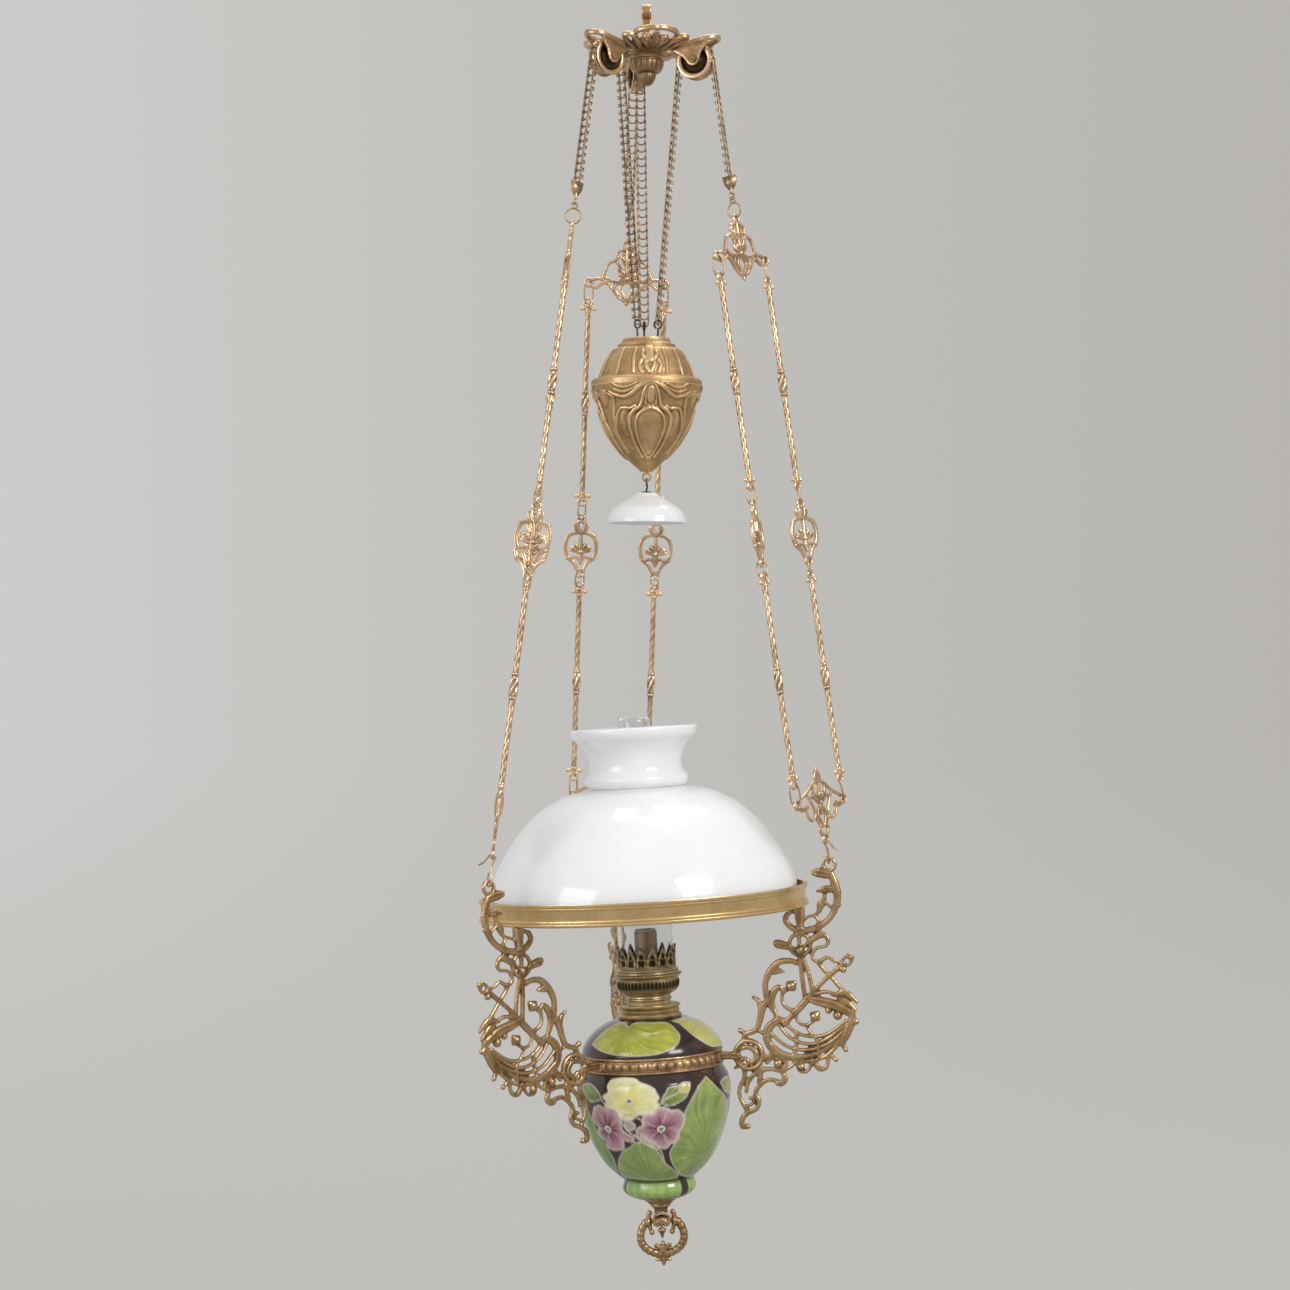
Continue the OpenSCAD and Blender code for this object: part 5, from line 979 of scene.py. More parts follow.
class LAMP_OT_legs(bpy.types.Operator):
    """Builds the yokes, medallions, rope rods and wire links of the three legs"""

    bl_idname = "lamp.legs"
    bl_label = "Legs"

    def execute(self, context):
        sizes = looks()[1]
        wire, lay = sizes.link_wire * 1000, sizes.rope_lay * 1000
        finish = gilt()
        thick = 4.4
        eye = 3.9, 2.6
        side = ((ROD_GAP, 0), *eye)
        fan = (-62, -32, 0, 32, 62)
        buds = [((16, 3), 2.2), ((22, 12), 1.9), ((10.5, 29), 1.8)]
        spine = [hoop((0, 38), *eye, thick), ball((0, 0, -19.5), (2.6, 2.2, 2.8)),
                 stroke([[0, 34], [0, 22], [0, 12]], [4, 5, 5], thick),
                 *shell_of_lobes((0, 5), 9.5, fan, 4.8)]
        upper = casting(heavier(YOKE_UP, 1.2), [side], buds, thick, spine, True, 0.55)
        buds = [((26, -3), 2.2), ((12, -13), 1.9), ((10, 16), 1.9)]
        spine = [hoop((0, -35), *eye, thick), stroke([[0, 29], [0, 20], [0, 10]], [3.4, 5, 5], thick),
                 stroke([[0, -2], [0, -10]], [7, 5], thick), ball((0, 0, 30.5), (1.9, 1.8, 3)),
                 *shell_of_lobes((0, 0), 9.5, fan, 4.8)]
        lower = casting(heavier(YOKE_LOW, 1.2), [side], buds, thick, spine, True, 0.55)
        buds = [((13.2, 10.6), 2.1), ((13.6, -12.6), 2.2)]
        spine = [hoop((0, 28), *eye, thick), hoop((0, -28), *eye, thick), ball((0, 0, 14.5), (2.3, 2.4, 2.3)),
                 stroke([[0, 12], [0, 2], [0, -10], [0, -18]], [3, 5, 6, 4], thick),
                 *shell_of_lobes((0, -6), 10.5, (-66, -34, 0, 34, 66), 4.8, 0.72)]
        medal = casting(MEDAL, [], buds, thick, spine, True, 0.58)
        upper_relief, lower_relief, medal_relief = (relief_of(form, *CAST_WEAR) for form in (upper, lower,
                                                                                             medal))
        rods = {part: rope_rod(*LEVEL[part], lay, sizes.rope_depth) for part in ("up_rod", "low_rod")}
        rod_relief = {part: relief_of(form, 1, 1.6) for part, form in rods.items()}
        pairs = [(LEVEL["low_yoke"], LEVEL["low_rod"][0]), (LEVEL["low_rod"][1], LEVEL["medal"][0]),
                 (LEVEL["medal"][1], LEVEL["up_rod"][0]), (LEVEL["up_rod"][1], LEVEL["up_yoke"])]
        for i, leg in enumerate(LEGS):
            turn, more = YOKE_TURN[i], HOOK_MORE[i]

            def set_up(form, z, x=0.0, i=i, turn=turn, more=more):
                return placed(form, lambda p: on_leg(p + [x, 0.0, z + more], i, turn))

            piece("yoke_upper_" + leg, set_up(upper, LEVEL["up_yoke"]), finish, "lamp", ["upper_yoke_" + leg],
                  upper_relief)
            piece("yoke_lower_" + leg, set_up(lower, LEVEL["low_yoke"]), finish, "lamp",
                  ["lower_yoke_" + leg], lower_relief)
            middle = sum(LEVEL["medal"]) / 2
            pair = [set_up(placed(medal, lambda p, a=a: spun(p, np.radians(a))), middle, s * ROD_GAP)
                    for s, a in zip((-1.0, 1.0), MEDAL_TURN[leg])]
            piece("medallion_pair_" + leg, joined(pair), finish, "lamp", ["medallions_" + leg],
                  np.tile(medal_relief, 2))
            for part, node in (("up_rod", "upper_rods_"), ("low_rod", "lower_rods_")):
                pair = joined([set_up(rods[part], 0.0, -ROD_GAP), set_up(rods[part], 0.0, ROD_GAP)])
                piece("rope_" + node + leg, pair, finish, "lamp", [node + leg], np.tile(rod_relief[part], 2))
            shells = []
            for s in (-1.0, 1.0):
                for k, (low, high) in enumerate(pairs):
                    skew = np.radians(48.0 if (k + (s > 0)) % 2 else 60.0) * s
                    link = oval(s * ROD_GAP, low - 1.2, high + 1.2, wire, skew)
                    shells.append(set_up(link, 0.0))
            t = turns(40)
            for level, radius in (("join", 7.3), ("loop", 2.9)):
                ring = np.stack([0 * t, radius * np.cos(t), LEVEL[level] + radius * np.sin(t)], 1)
                shells.append(set_up(tube(ring, wire / 2, wire / 2, ACROSS, 8, closed=True), 0.0))
            eye_ring = np.stack([3.3 * np.cos(t), 0 * t, LEVEL["tab_eye"] + 3.3 * np.sin(t)], 1)
            shells.append(set_up(tube(eye_ring, 0.9, 0.8, DEEP, 8, closed=True), 0.0))
            tab = LEVEL["tab_eye"] + more
            shells.append(placed(tube([[0, 0, tab + 3.2], [0, 0, tab + 8.0]], 1.5, 1.5, DEEP, 10),
                                 lambda p, i=i: on_leg(p, i)))
            shield = [[-2, 6], [2, 6], [5.4, 10.5], [6.6, 15], [7, 19.5], [-7, 19.5], [-6.6, 15],
                      [-5.4, 10.5]]
            plate = prism(offset(shield, 0, tab), -0.9, 0.9)
            shells.append(placed(plate, lambda p, i=i: on_leg(p, i, np.pi / 2)))
            top = LEVEL["hook"] + more
            crook = [[-2.4, 0, 13], [-3.4, 0, 7.5], [-2.4, 0, 2.6], [0, 0, 1], [2.4, 0, 2.6], [3.3, 0, 7.5],
                     [2, 0, 12.5], [0.6, 0, 15 + 0.5 * more]]
            bend = np.array([[0, 2.6, top - 3.6], [0, 1.8, top - 1.2], [0, -0.4, top - 0.6],
                             [0, -2.8, top - 1.6], [0, -5, top - 5.2], [0, -8, top - 9],
                             [0, -11.4, top - 11.4]])
            hook = spline(np.vstack([crook, spun(bend, turn)]), 5)
            shells.append(placed(tube(hook, wire / 2 + 0.1, wire / 2 + 0.1, (0.7, -0.7, 0.0), 8),
                                 lambda p, i=i: on_leg(p, i)))
            piece("wire_links_" + leg, joined(shells), finish, "lamp", ["leg_links_" + leg])
        return {"FINISHED"}


class LAMP_OT_arms(bpy.types.Operator):
    """Builds the three openwork arms with their beast heads, scrolls and ships"""

    bl_idname = "lamp.arms"
    bl_label = "Arms"

    def execute(self, context):
        thick = 7.5
        cup = prism([[152, 148.5], [162, 148.5], [161.4, 140], [159.5, 128], [154.4, 128], [152.6, 140]],
                    -3.4, 3.4)
        beads = [ball((x, 0.0, z), (r, min(r, 3.6), r)) for x, z, r in ARM_BEADS]
        form = casting(heavier(ARM_STEMS, 1.18), ARM_HOOPS, ARM_BUDS, thick, [cup, *beads], False, 0.9)
        relief = relief_of(form, *CAST_WEAR)
        form = placed(form, lambda p: p + [ARM_SHIFT, 0.0, ARM_FOOT])
        for i, leg in enumerate(LEGS):
            arm = placed(form, lambda p, i=i: hung(spun(p, AZIMUTH[i])))
            piece("openwork_arm_" + leg, arm, bronze(), "lamp", ["arm_" + leg], relief)
        return {"FINISHED"}


class LAMP_OT_shade(bpy.types.Operator):
    """Builds the shade ring, the opal dome shade and the clear chimney"""

    bl_idname = "lamp.shade"
    bl_label = "Shade, ring and chimney"

    def execute(self, context):
        colours = looks()[0]
        r, low, top = 156.5, -868.5, -847.5
        foot = [(-12.5, 0), (1.2, 0), (2.6, 0.6), (3, 1.6), (2.4, 2.6), (1.2, 3), (1.9, 3.6), (2, 4.6),
                (1, 5.4), (0, 5.8), (-0.2, 7)]
        head = [(-0.2, -6.4), (0, -5.6), (1.5, -5), (1.5, -4), (0.9, -3.5), (2.3, -2.8), (2.6, -1.6),
                (2, -0.3), (0.8, 0), (-1.6, 0)]
        ledge = [(-1.6, 1.6), (-12.5, 1.6)]
        line = np.vstack([offset(foot, r, low), offset(head, r, top), offset(ledge, r, low)])
        form = placed(lathe(crisp(line), 256), hung)
        satin = metal_finish("satin_brass", colours.satin, 0.3, 0.5, 1.6, 0.3)
        piece("sheet_ring", form, satin, "lamp", ["shade_ring"], relief_of(form, 1, 0.5))

        foot, rad, tall = -866.9, 150.0, 177.0
        neck = np.array([[0.396, 1], [0.405, 0.996], [0.408, 0.985], [0.406, 0.966], [0.394, 0.944],
                         [0.365, 0.922], [0.335, 0.893], [0.312, 0.863], [0.3, 0.827], [0.297, 0.796],
                         [0.301, 0.768], [0.316, 0.748], [0.332, 0.73], [0.336, 0.712], [0.326, 0.692],
                         [0.306, 0.676], [0.29, 0.672]])
        dome = np.array([[0.29, 0.672], [0.463, 0.645], [0.585, 0.595], [0.662, 0.552], [0.743, 0.487],
                         [0.81, 0.421], [0.868, 0.35], [0.926, 0.268], [0.971, 0.181], [0.995, 0.094],
                         [1, 0]])
        neck, dome = (share * [rad, tall] + [0, foot] for share in (neck, dome))
        inside = dome - [3.5, 2.4]
        inside[-1] += [0, 2.4]
        line = np.vstack([spline(neck, 4), spline(dome, 6)[1:], spline(inside, 6)[::-1],
                          spline(neck - [3.5, 0], 4)[::-1][1:]])
        milk = opal_finish("opal_glass", colours.opal)
        piece("opal_shade", placed(lathe(line, 160), hung), milk, "shade", ["shade"])

        foot, rad, tall = -924.5, 26.3, 244.0
        outer = np.array([[1, 0], [1.015, 0.08], [1.015, 0.18], [0.98, 0.225], [0.8, 0.275], [0.7, 0.31],
                          [0.655, 0.36], [0.625, 0.5], [0.6, 0.75], [0.585, 1]]) * [rad, tall] + [0, foot]
        line = np.vstack([spline(outer, 8), (spline(outer, 8) - [1.8, 0])[::-1]])
        glass = clear_finish("clear_glass", colours.clear)
        piece("chimney_glass", placed(lathe(line, 96), hung), glass, "chimney", ["chimney"])
        return {"FINISHED"}


class LAMP_OT_burner(bpy.types.Operator):
    """Builds the collar, the burner's base, the leafed gallery, the wick tube and the wick"""

    bl_idname = "lamp.burner"
    bl_label = "Burner"

    def execute(self, context):
        brass = burner_brass()
        flange, collar, dome = -924.5, -957.3, -970.0
        foot = [(17, 0), (29.5, 0), (30.6, 0.8), (30.6, 2.6), (29.6, 3.6), (28.4, 4.4), (28.2, 6),
                (28.8, 6.6), (28.8, 7.6), (28.2, 8.2)]
        head = [(28.2, -3.4), (28.8, -2.6), (29.8, -1.8), (29.8, -0.6), (29, 0), (17, 0)]
        line = np.vstack([offset(foot, 0, dome), offset(head, 0, collar)])
        form = placed(lathe(crisp(line), 96), hung)
        bright = metal_finish("collar_brass", np.array(looks()[0].burner) * 1.5, 0.3, 0.9)
        piece("banded_collar", form, bright, "font", ["font_collar"], relief_of(form, 1, 0.6))

        r0, tips = 26.8, 16
        patches, shadows = [], []
        v = np.linspace(0, 1, 16)[:, None]
        u = np.linspace(-1, 1, 11)[None]
        for k in range(tips):
            half = np.pi / tips * np.where(v < 0.5, 0.99, 0.9 - 0.6 * (2 * np.clip(v - 0.5, 0, 1)) ** 1.4)
            angle = 2 * np.pi * (k + 0.5) / tips + u * half
            high = flange + 2.0 + 22.0 * v - 2.2 * u**2 * v
            radius = r0 + 0.9 + 2.0 * np.clip(v - 0.4, 0, 1) ** 1.5 + 0.7 * np.exp(-((u / 0.25) ** 2)) * v
            grids = [np.stack([ring * np.cos(angle), ring * np.sin(angle), high + 0 * u], -1)
                     for ring in (radius, radius - 0.9)]
            rows = np.concatenate([grids[0], grids[1][:, ::-1]], 1)
            points, faces = lattice(rows, False, True)
            count = rows.shape[1]
            ends = np.arange(10)
            low = np.stack([ends, ends + 1, count - 2 - ends, count - 1 - ends], 1)
            patches.append(outward((points, faces + [low[:, ::-1], low + len(points) - count])))
            # Painted shade: dark spots where the gallery's piercings would show, and a darker inner side; the
            # mottle is the metal's own uneven tone.
            hole_shade = sum(np.exp(-((u / wide) ** 4) - ((v - mid) / tall) ** 4)
                       for wide, mid, tall in ((0.5, 0.3, 0.12), (0.3, 0.58, 0.09)))
            mottle = 0.3 * np.sin(5 * u + 9 * v + 1.7 * k) * np.sin(13 * v - 4 * u + k)
            shadows.append(np.concatenate([mottle - 0.05 - 1.2 * hole_shade, 0 * hole_shade - 0.5], 1).ravel())
        rim = lathe(offset([(0, 0.1), (3, 0.1), (3, 1.2), (1.2, 2.2), (1.2, 3.4), (0, 3.4)], r0, flange), 96)
        form = placed(joined(patches + [rim]), hung)
        piece("leaf_gallery", form, brass, "font", ["gallery_crown"],
              np.concatenate(shadows + [np.full(len(rim[0]), 0.3)]))

        plug, neck, mouth, wall, slots = 16.8, 21.0, 14.0, 1.2, 24
        low = [(0, 0), (0, 4), (0.9, 5), (0.9, 6.4), (0, 7.4), (0, 9.4), (2.4, 10.6)]
        cup = [(27.2, -19.6), (29.4, -16.4), (30.3, -13), (30.2, -10), (29.4, -8.2), (30.2, -6.4),
               (32.2, -4.8), (33, -3.6), (32.2, -2.8), (30.4, -2.4), (29.8, -1), (28.6, -0.1),
               (mouth, -0.1)]
        within = [(mouth, -1.2), (27.4, -7.6), (27.4, -16.4), (neck - wall, -20.6)]
        skirt = np.vstack([offset(low, neck, collar), offset(cup, 0, flange)])
        stalk, root = [(plug, -9), (plug, 0)], [(neck - wall, wall), (plug - wall, wall), (plug - wall, -9)]
        line = np.vstack([offset(stalk, 0, collar), spline(skirt, 4), offset(within, 0, flange),
                          offset(root, 0, collar)])

        def gadroons(radius, angle, high):
            belly = np.exp(-(((high - flange + 13.6) / 5.0) ** 4)) * (radius > 28)
            return radius - 0.9 * belly * np.abs(np.cos(slots * angle)) ** 3

        form = lathe(line, 288, gadroons)
        angle, high = np.arctan2(form[0][:, 1], form[0][:, 0]), form[0][:, 2]
        # Painted shade: the slots between the gadroons are darkened as if pierced, and the belly band is
        # darker as well.
        belly = np.exp(-(((high - flange + 13.6) / 4.6) ** 4))
        slot_shade = np.abs(np.cos(slots * angle)) ** 2 * np.exp(-(((high - flange + 12.6) / 3.2) ** 4))
        piece("pierced_basket", placed(form, hung), brass, "font", ["burner_base"],
              0.22 - 0.4 * belly - 0.9 * slot_shade)
        dress(copper_finish("streaked_copper"), "wick_tube")
        dress(brass, "oil_tank", "wick_knob")
        dress(cotton_finish("wick_cotton", looks()[0].cotton), "wick")
        return {"FINISHED"}


# A painting's points are degrees from the lamp's front and heights above PAINT_Z; a degree is ARC long.
ARC, PAINT_Z = 1.047, -1000.0
FLOWERS = {
    "slim": [(-63, -46.4), (-58.5, -55.7), (-56, -66.5), (-52.2, -76.2), (-49.3, -88), (-47.2, -96.6),
        (-50.8, -106.1), (-58, -111.7), (-65.8, -104.6), (-70, -95), (-71.5, -81.1), (-75, -69.9),
        (-71.2, -57.5), (-65, -45.5)],
    "big": [(44.8, -23), (49.2, -29.3), (56.5, -37.4), (65.8, -45.8), (70.8, -55.1), (73.8, -62.5),
        (85.8, -79.1), (84.2, -90.2), (83.2, -99.8), (80.8, -108.2), (78, -116.6), (73.2, -122.4),
        (37.2, -118.6), (24.5, -113), (15.5, -103.9), (11.5, -93.4), (12.5, -88), (15, -82.8), (18, -75.6),
        (19.8, -66.5), (21.8, -56), (25.5, -47.3), (31.2, -37.1), (36.2, -29.6)],
    "mauve_edge": [(70.2, -50.9), (79, -48.2), (89, -48.8), (93, -55.1), (95, -62.5), (94, -70.8),
        (88, -77.1), (73.2, -62.8)],
    "bud_edge": [(59.8, -31.1), (67.8, -28.2), (80, -29.5), (88.8, -35.1), (88, -42), (81.5, -45.8),
        (66.8, -40.7), (61.8, -34.7)],
    "yellow": [(-37.2, -25.6), (-35.2, -20.6), (-28.5, -18.6), (-21, -18.3), (-14.5, -19.1), (-10, -22.5),
        (-5.8, -24.3), (-1, -27.3), (2, -32.9), (3.5, -37.4), (2, -41), (3.2, -44), (2.2, -48.5),
        (-0.5, -51.2), (-5.2, -53), (-11.8, -52.1), (-16.2, -56), (-20.8, -58.1), (-26, -56.6),
        (-28, -50.9), (-30.5, -47.9), (-35.2, -46.7), (-39.2, -46.1), (-39.8, -42.8), (-38, -39.5),
        (-40.8, -37.4), (-40.3, -34.4), (-36, -31.1)],
    "mauve_left": [(-51.5, -46.7), (-46.2, -44.6), (-41.2, -45.8), (-38.8, -47.9), (-33.2, -46.4),
        (-29.5, -48.5), (-27.8, -53.6), (-27, -59), (-27.3, -66.2), (-24, -70.8), (-19, -73.6),
        (-18.8, -76.8), (-22, -79.1), (-26.5, -77.1), (-28.7, -78.8), (-29, -83.6), (-32.2, -86.9),
        (-39.8, -87.8), (-47.2, -86.9), (-48.2, -82.8), (-48, -79.4), (-52, -75.6), (-53.8, -70.5),
        (-50.8, -65.9), (-54.8, -61.9), (-55.8, -56.9), (-53.5, -51.2)],
    "mauve_right": [(0.2, -48.2), (4.5, -46.1), (9.5, -47.6), (12.2, -50.3), (16.2, -49.4), (20.2, -52.7),
        (22.5, -57.5), (22, -63.9), (20.5, -68.5), (18, -70.2), (18.2, -76.2), (15, -81.1), (11.8, -81.9),
        (9, -85.8), (4.2, -86.1), (-0.2, -83.9), (-2.8, -79.6), (-5.8, -78.5), (-8.8, -77.1), (-9.5, -73.9),
        (-12.2, -71.9), (-15.2, -70.5), (-15.8, -67.3), (-12.8, -64.2), (-10, -62.8), (-10.2, -57.8),
        (-8.5, -53.6), (-5.2, -51.8), (-1.2, -51.8)],
    "bud_left": [(-67.8, -30.8), (-66.2, -27.3), (-59.8, -25.3), (-52.2, -26.7), (-46, -31.4), (-43, -37.1),
        (-45.2, -39.2), (-54.2, -41.6), (-60, -38.6), (-65.2, -34.1)],
    "bud_right": [(28.2, -25.6), (22.8, -25), (18, -27.6), (11.2, -28.7), (9.2, -32.6), (6.8, -36.2),
        (5.5, -41.6), (9, -44.9), (13.2, -45.2), (18.2, -42.5), (23.2, -39.2), (26.2, -33.5)],
    "bud_tip": [(28.2, -25.6), (22.5, -25.3), (19.8, -27.6), (19, -32.9), (26.2, -33.5)],
    "heart": [(-18.2, -78.8), (-23, -84.2), (-30.2, -87.8), (-38, -95.3), (-45.2, -104.4), (-53.2, -113.4),
        (-52, -117.4), (-34.8, -118.2), (-12.5, -119.5), (6, -119.7), (22, -119.3), (27.5, -117.8),
        (19.8, -111.7), (9.8, -104.4), (5.5, -99.5), (2.2, -92.6), (-1.2, -86.9), (-5.8, -84.2),
        (-10, -81.1), (-14.5, -79.6)],
    "scrap_upper": [(-23.2, -57.5), (-19, -58.4), (-16, -61.9), (-17.3, -66.2), (-22.5, -67.9),
        (-24.5, -63.1)],
    "scrap_lower": [(-18.2, -72.2), (-12, -73.6), (-5.2, -78.5), (-2.5, -85), (-9.2, -81.3), (-14.2, -77.1)],
}
STEMS = [
    [(-11.2, -57.2), (-15.2, -53.9), (-20, -51.8), (-24.5, -53.9), (-26.2, -58.7), (-25, -63.9),
        (-20.8, -70.2), (-13.8, -73.6), (-7.2, -79.1), (-1.2, -85.8), (3, -88.3), (6.5, -101.3)],
    [(-44, -38), (-41.2, -40.7), (-38.5, -44.3)],
    [(2.8, -44.9), (5.8, -40.7), (9.8, -37.7), (18.8, -33.2)],
]
# Leaves on the dome: an outline and the foot of its veins.
LILIES = [
    ([(-63.8, 11.3), (-62.2, 17.1), (-61, 23), (-58, 26.8), (-53.5, 29.1), (-40.3, 29), (-27.8, 26),
        (-26.7, 28.6), (-15.8, 29.3), (1.8, 28.8), (17.8, 28.4), (26.2, 26.9), (27.8, 22.4), (28.7, 18.5),
        (27, 15), (22.2, 9.8), (16, 6.6), (8.5, 3.8), (0.5, 2.5), (-10, 2), (-21, 2.2), (-30.8, 3.2),
        (-42.2, 5.2), (-53, 7.9)], (-27.3, 25.5)),
    ([(34.8, 28.5), (61.2, 29.2), (94, 27.9), (97, 23.2), (97.5, 16), (95, 9.8), (90.5, 3.7), (79.8, 1.9),
        (59, 3.2), (49.2, 9.3), (42.8, 16.1), (40.2, 22.1), (39.7, 26.8)], (70, 27)),
]


def seen(r, g, b):
    """A colour as read on a screen, 0 to 255, in linear light."""
    return (np.array([r, g, b]) / 255.0) ** 2.2


def on_wall(points):
    """A painting's points as a length round the wall and a height."""
    return np.array(points, float) * [ARC, 1.0] + [0.0, PAINT_Z]


def apart(spots, a, run):
    """Distance of each spot from a straight run that starts at a."""
    share = np.clip(((spots - a) @ run) / max(run @ run, 1e-9), 0.0, 1.0)
    return np.linalg.norm(spots - a - share[:, None] * run, axis=1)


def signed(spots, outline):
    """Distance of each spot from a closed outline, below zero inside: the nearest of its sides, with inside
    told by how many sides a level line crosses."""
    near = np.full(len(spots), 1e9)
    inside = np.zeros(len(spots), bool)
    for a, b in zip(outline, np.roll(outline, -1, 0)):
        run = b - a
        near = np.minimum(near, apart(spots, a, run))
        crossed = (a[1] > spots[:, 1]) != (b[1] > spots[:, 1])
        inside ^= crossed & (spots[:, 0] < a[0] + (spots[:, 1] - a[1]) * run[0] / (run[1] or 1e-9))
    return np.where(inside, -near, near)


def painted(canvas, outline, fill, edge):
    """Lays one shape on a canvas of spots, tints and heights: its fill inside a smooth closed outline,
    slightly raised, and a higher pale line along the outline."""
    spots, tint, high = canvas
    line = on_wall(outline)
    line = spline(np.vstack([line, line[:1]]), 4)[:-1]
    rim, rise, soft, margin = 0.65, 0.5, 0.9, 2.5
    box = np.all((spots > line.min(0) - margin) & (spots < line.max(0) + margin), axis=1)
    gap = signed(spots[box], line)
    cover = np.clip(0.5 - gap / soft, 0.0, 1.0)[:, None]
    ridge = 0.8 * np.exp(-((gap / rim) ** 2))[:, None]
    colour = tint[box] * (1 - cover) + fill(spots[box], gap) * cover
    tint[box] = colour * (1 - ridge) + edge * ridge
    swell = rise * np.clip(-gap / 2.0, 0.0, 1.0) + ridge[:, 0]
    high[box] = high[box] * (1 - cover[:, 0]) + np.maximum(swell, 0.0)


def drawn(canvas, points, width, colour):
    """Lays a painted line of some width along a smooth curve."""
    spots, tint, high = canvas
    line = spline(on_wall(points), 4)
    near = np.full(len(spots), 1e9)
    for a, b in zip(line[:-1], line[1:]):
        near = np.minimum(near, apart(spots, a, b - a))
    ridge = np.exp(-((near / width) ** 2))[:, None]
    tint[:] = tint * (1 - ridge) + colour * ridge
    high[:] = np.maximum(high, ridge[:, 0])


def leafy(node, dark, light, veins, seed):
    """A leaf's fill: soft streaks that run out from its foot, and thin pale veins, each with a dark side."""
    node = on_wall(node)

    def fill(spots, gap):
        way = spots - node
        turn, far = np.arctan2(way[:, 0], way[:, 1]), np.linalg.norm(way, axis=1)
        sway = turn + 0.05 * np.sin(0.16 * far + seed)
        broad, fine = np.sin(11 * sway + seed + 1.4 * np.sin(7 * sway)), np.sin(41 * sway + 2 * seed)
        streak = 0.58 + 0.17 * broad + 0.12 * fine
        streak = streak * np.clip(0.5 + far / 40.0, 0.0, 1.0) + 0.12 * np.sin(0.21 * far + 2 * turn + seed)

        def lines(shift):
            gap_to = far * np.sin(veins * sway + seed + shift) / veins
            return np.exp(-((gap_to / 0.42) ** 2)) * np.clip(far / 9.0 - 0.4, 0.0, 1.0)

        colour = dark + (light - dark) * streak[:, None]
        colour = colour * (1 - 0.3 * lines(0.3))[:, None]
        return colour + (seen(225, 228, 165) - colour) * 0.35 * lines(0.0)[:, None]

    return fill


def bloom(node, dark, mid, pale, rays, seed, hub=True):
    """A flower's fill: rays round its middle that fade to pale petal edges; the hub is white round green."""
    node = on_wall(node)

    def fill(spots, gap):
        way = spots - node
        turn, far = np.arctan2(way[:, 0], way[:, 1]), np.linalg.norm(way, axis=1)
        reach = 11.5 + 2.5 * np.sin(5 * turn + seed) + 1.5 * np.sin(11 * turn + 2 * seed)
        ray = 0.55 + 0.45 * np.sin(rays * turn + seed + 1.1 * np.sin(5 * turn + seed))
        ray = ray * np.exp(-((far / reach) ** 4)) + 0.35 * np.exp(-((far / 5.5) ** 2))
        crease = far * np.sin(2.5 * turn + seed) / 2.5
        petal = np.exp(-((crease / 0.55) ** 2)) * np.clip(far / 5.0 - 0.8, 0.0, 0.6)
        colour = mid + (dark - mid) * np.minimum(ray, 1.0)[:, None]
        colour = colour + (pale - colour) * np.maximum(0.9 * np.exp(gap / 2.2), petal)[:, None]
        if hub:
            colour = np.where((far < 3.4)[:, None], seen(238, 232, 215), colour)
            colour = np.where((far < 1.8)[:, None], seen(120, 140, 60), colour)
        return colour

    return fill


def both_sides(points):
    """A painting's spots: length round the vase from its front, and height. The back half is turned round to
    lie over the front, from a few degrees behind the sides."""
    angle = np.mod(np.degrees(np.arctan2(points[:, 1], points[:, 0])) + 270.0, 360.0) - 180.0
    across, half = angle * ARC, 90.0 * ARC
    across = np.where(np.abs(across) > half + 8.0 * ARC, np.mod(across, 4 * half) - 2 * half, across)
    return np.stack([across, points[:, 2]], 1)


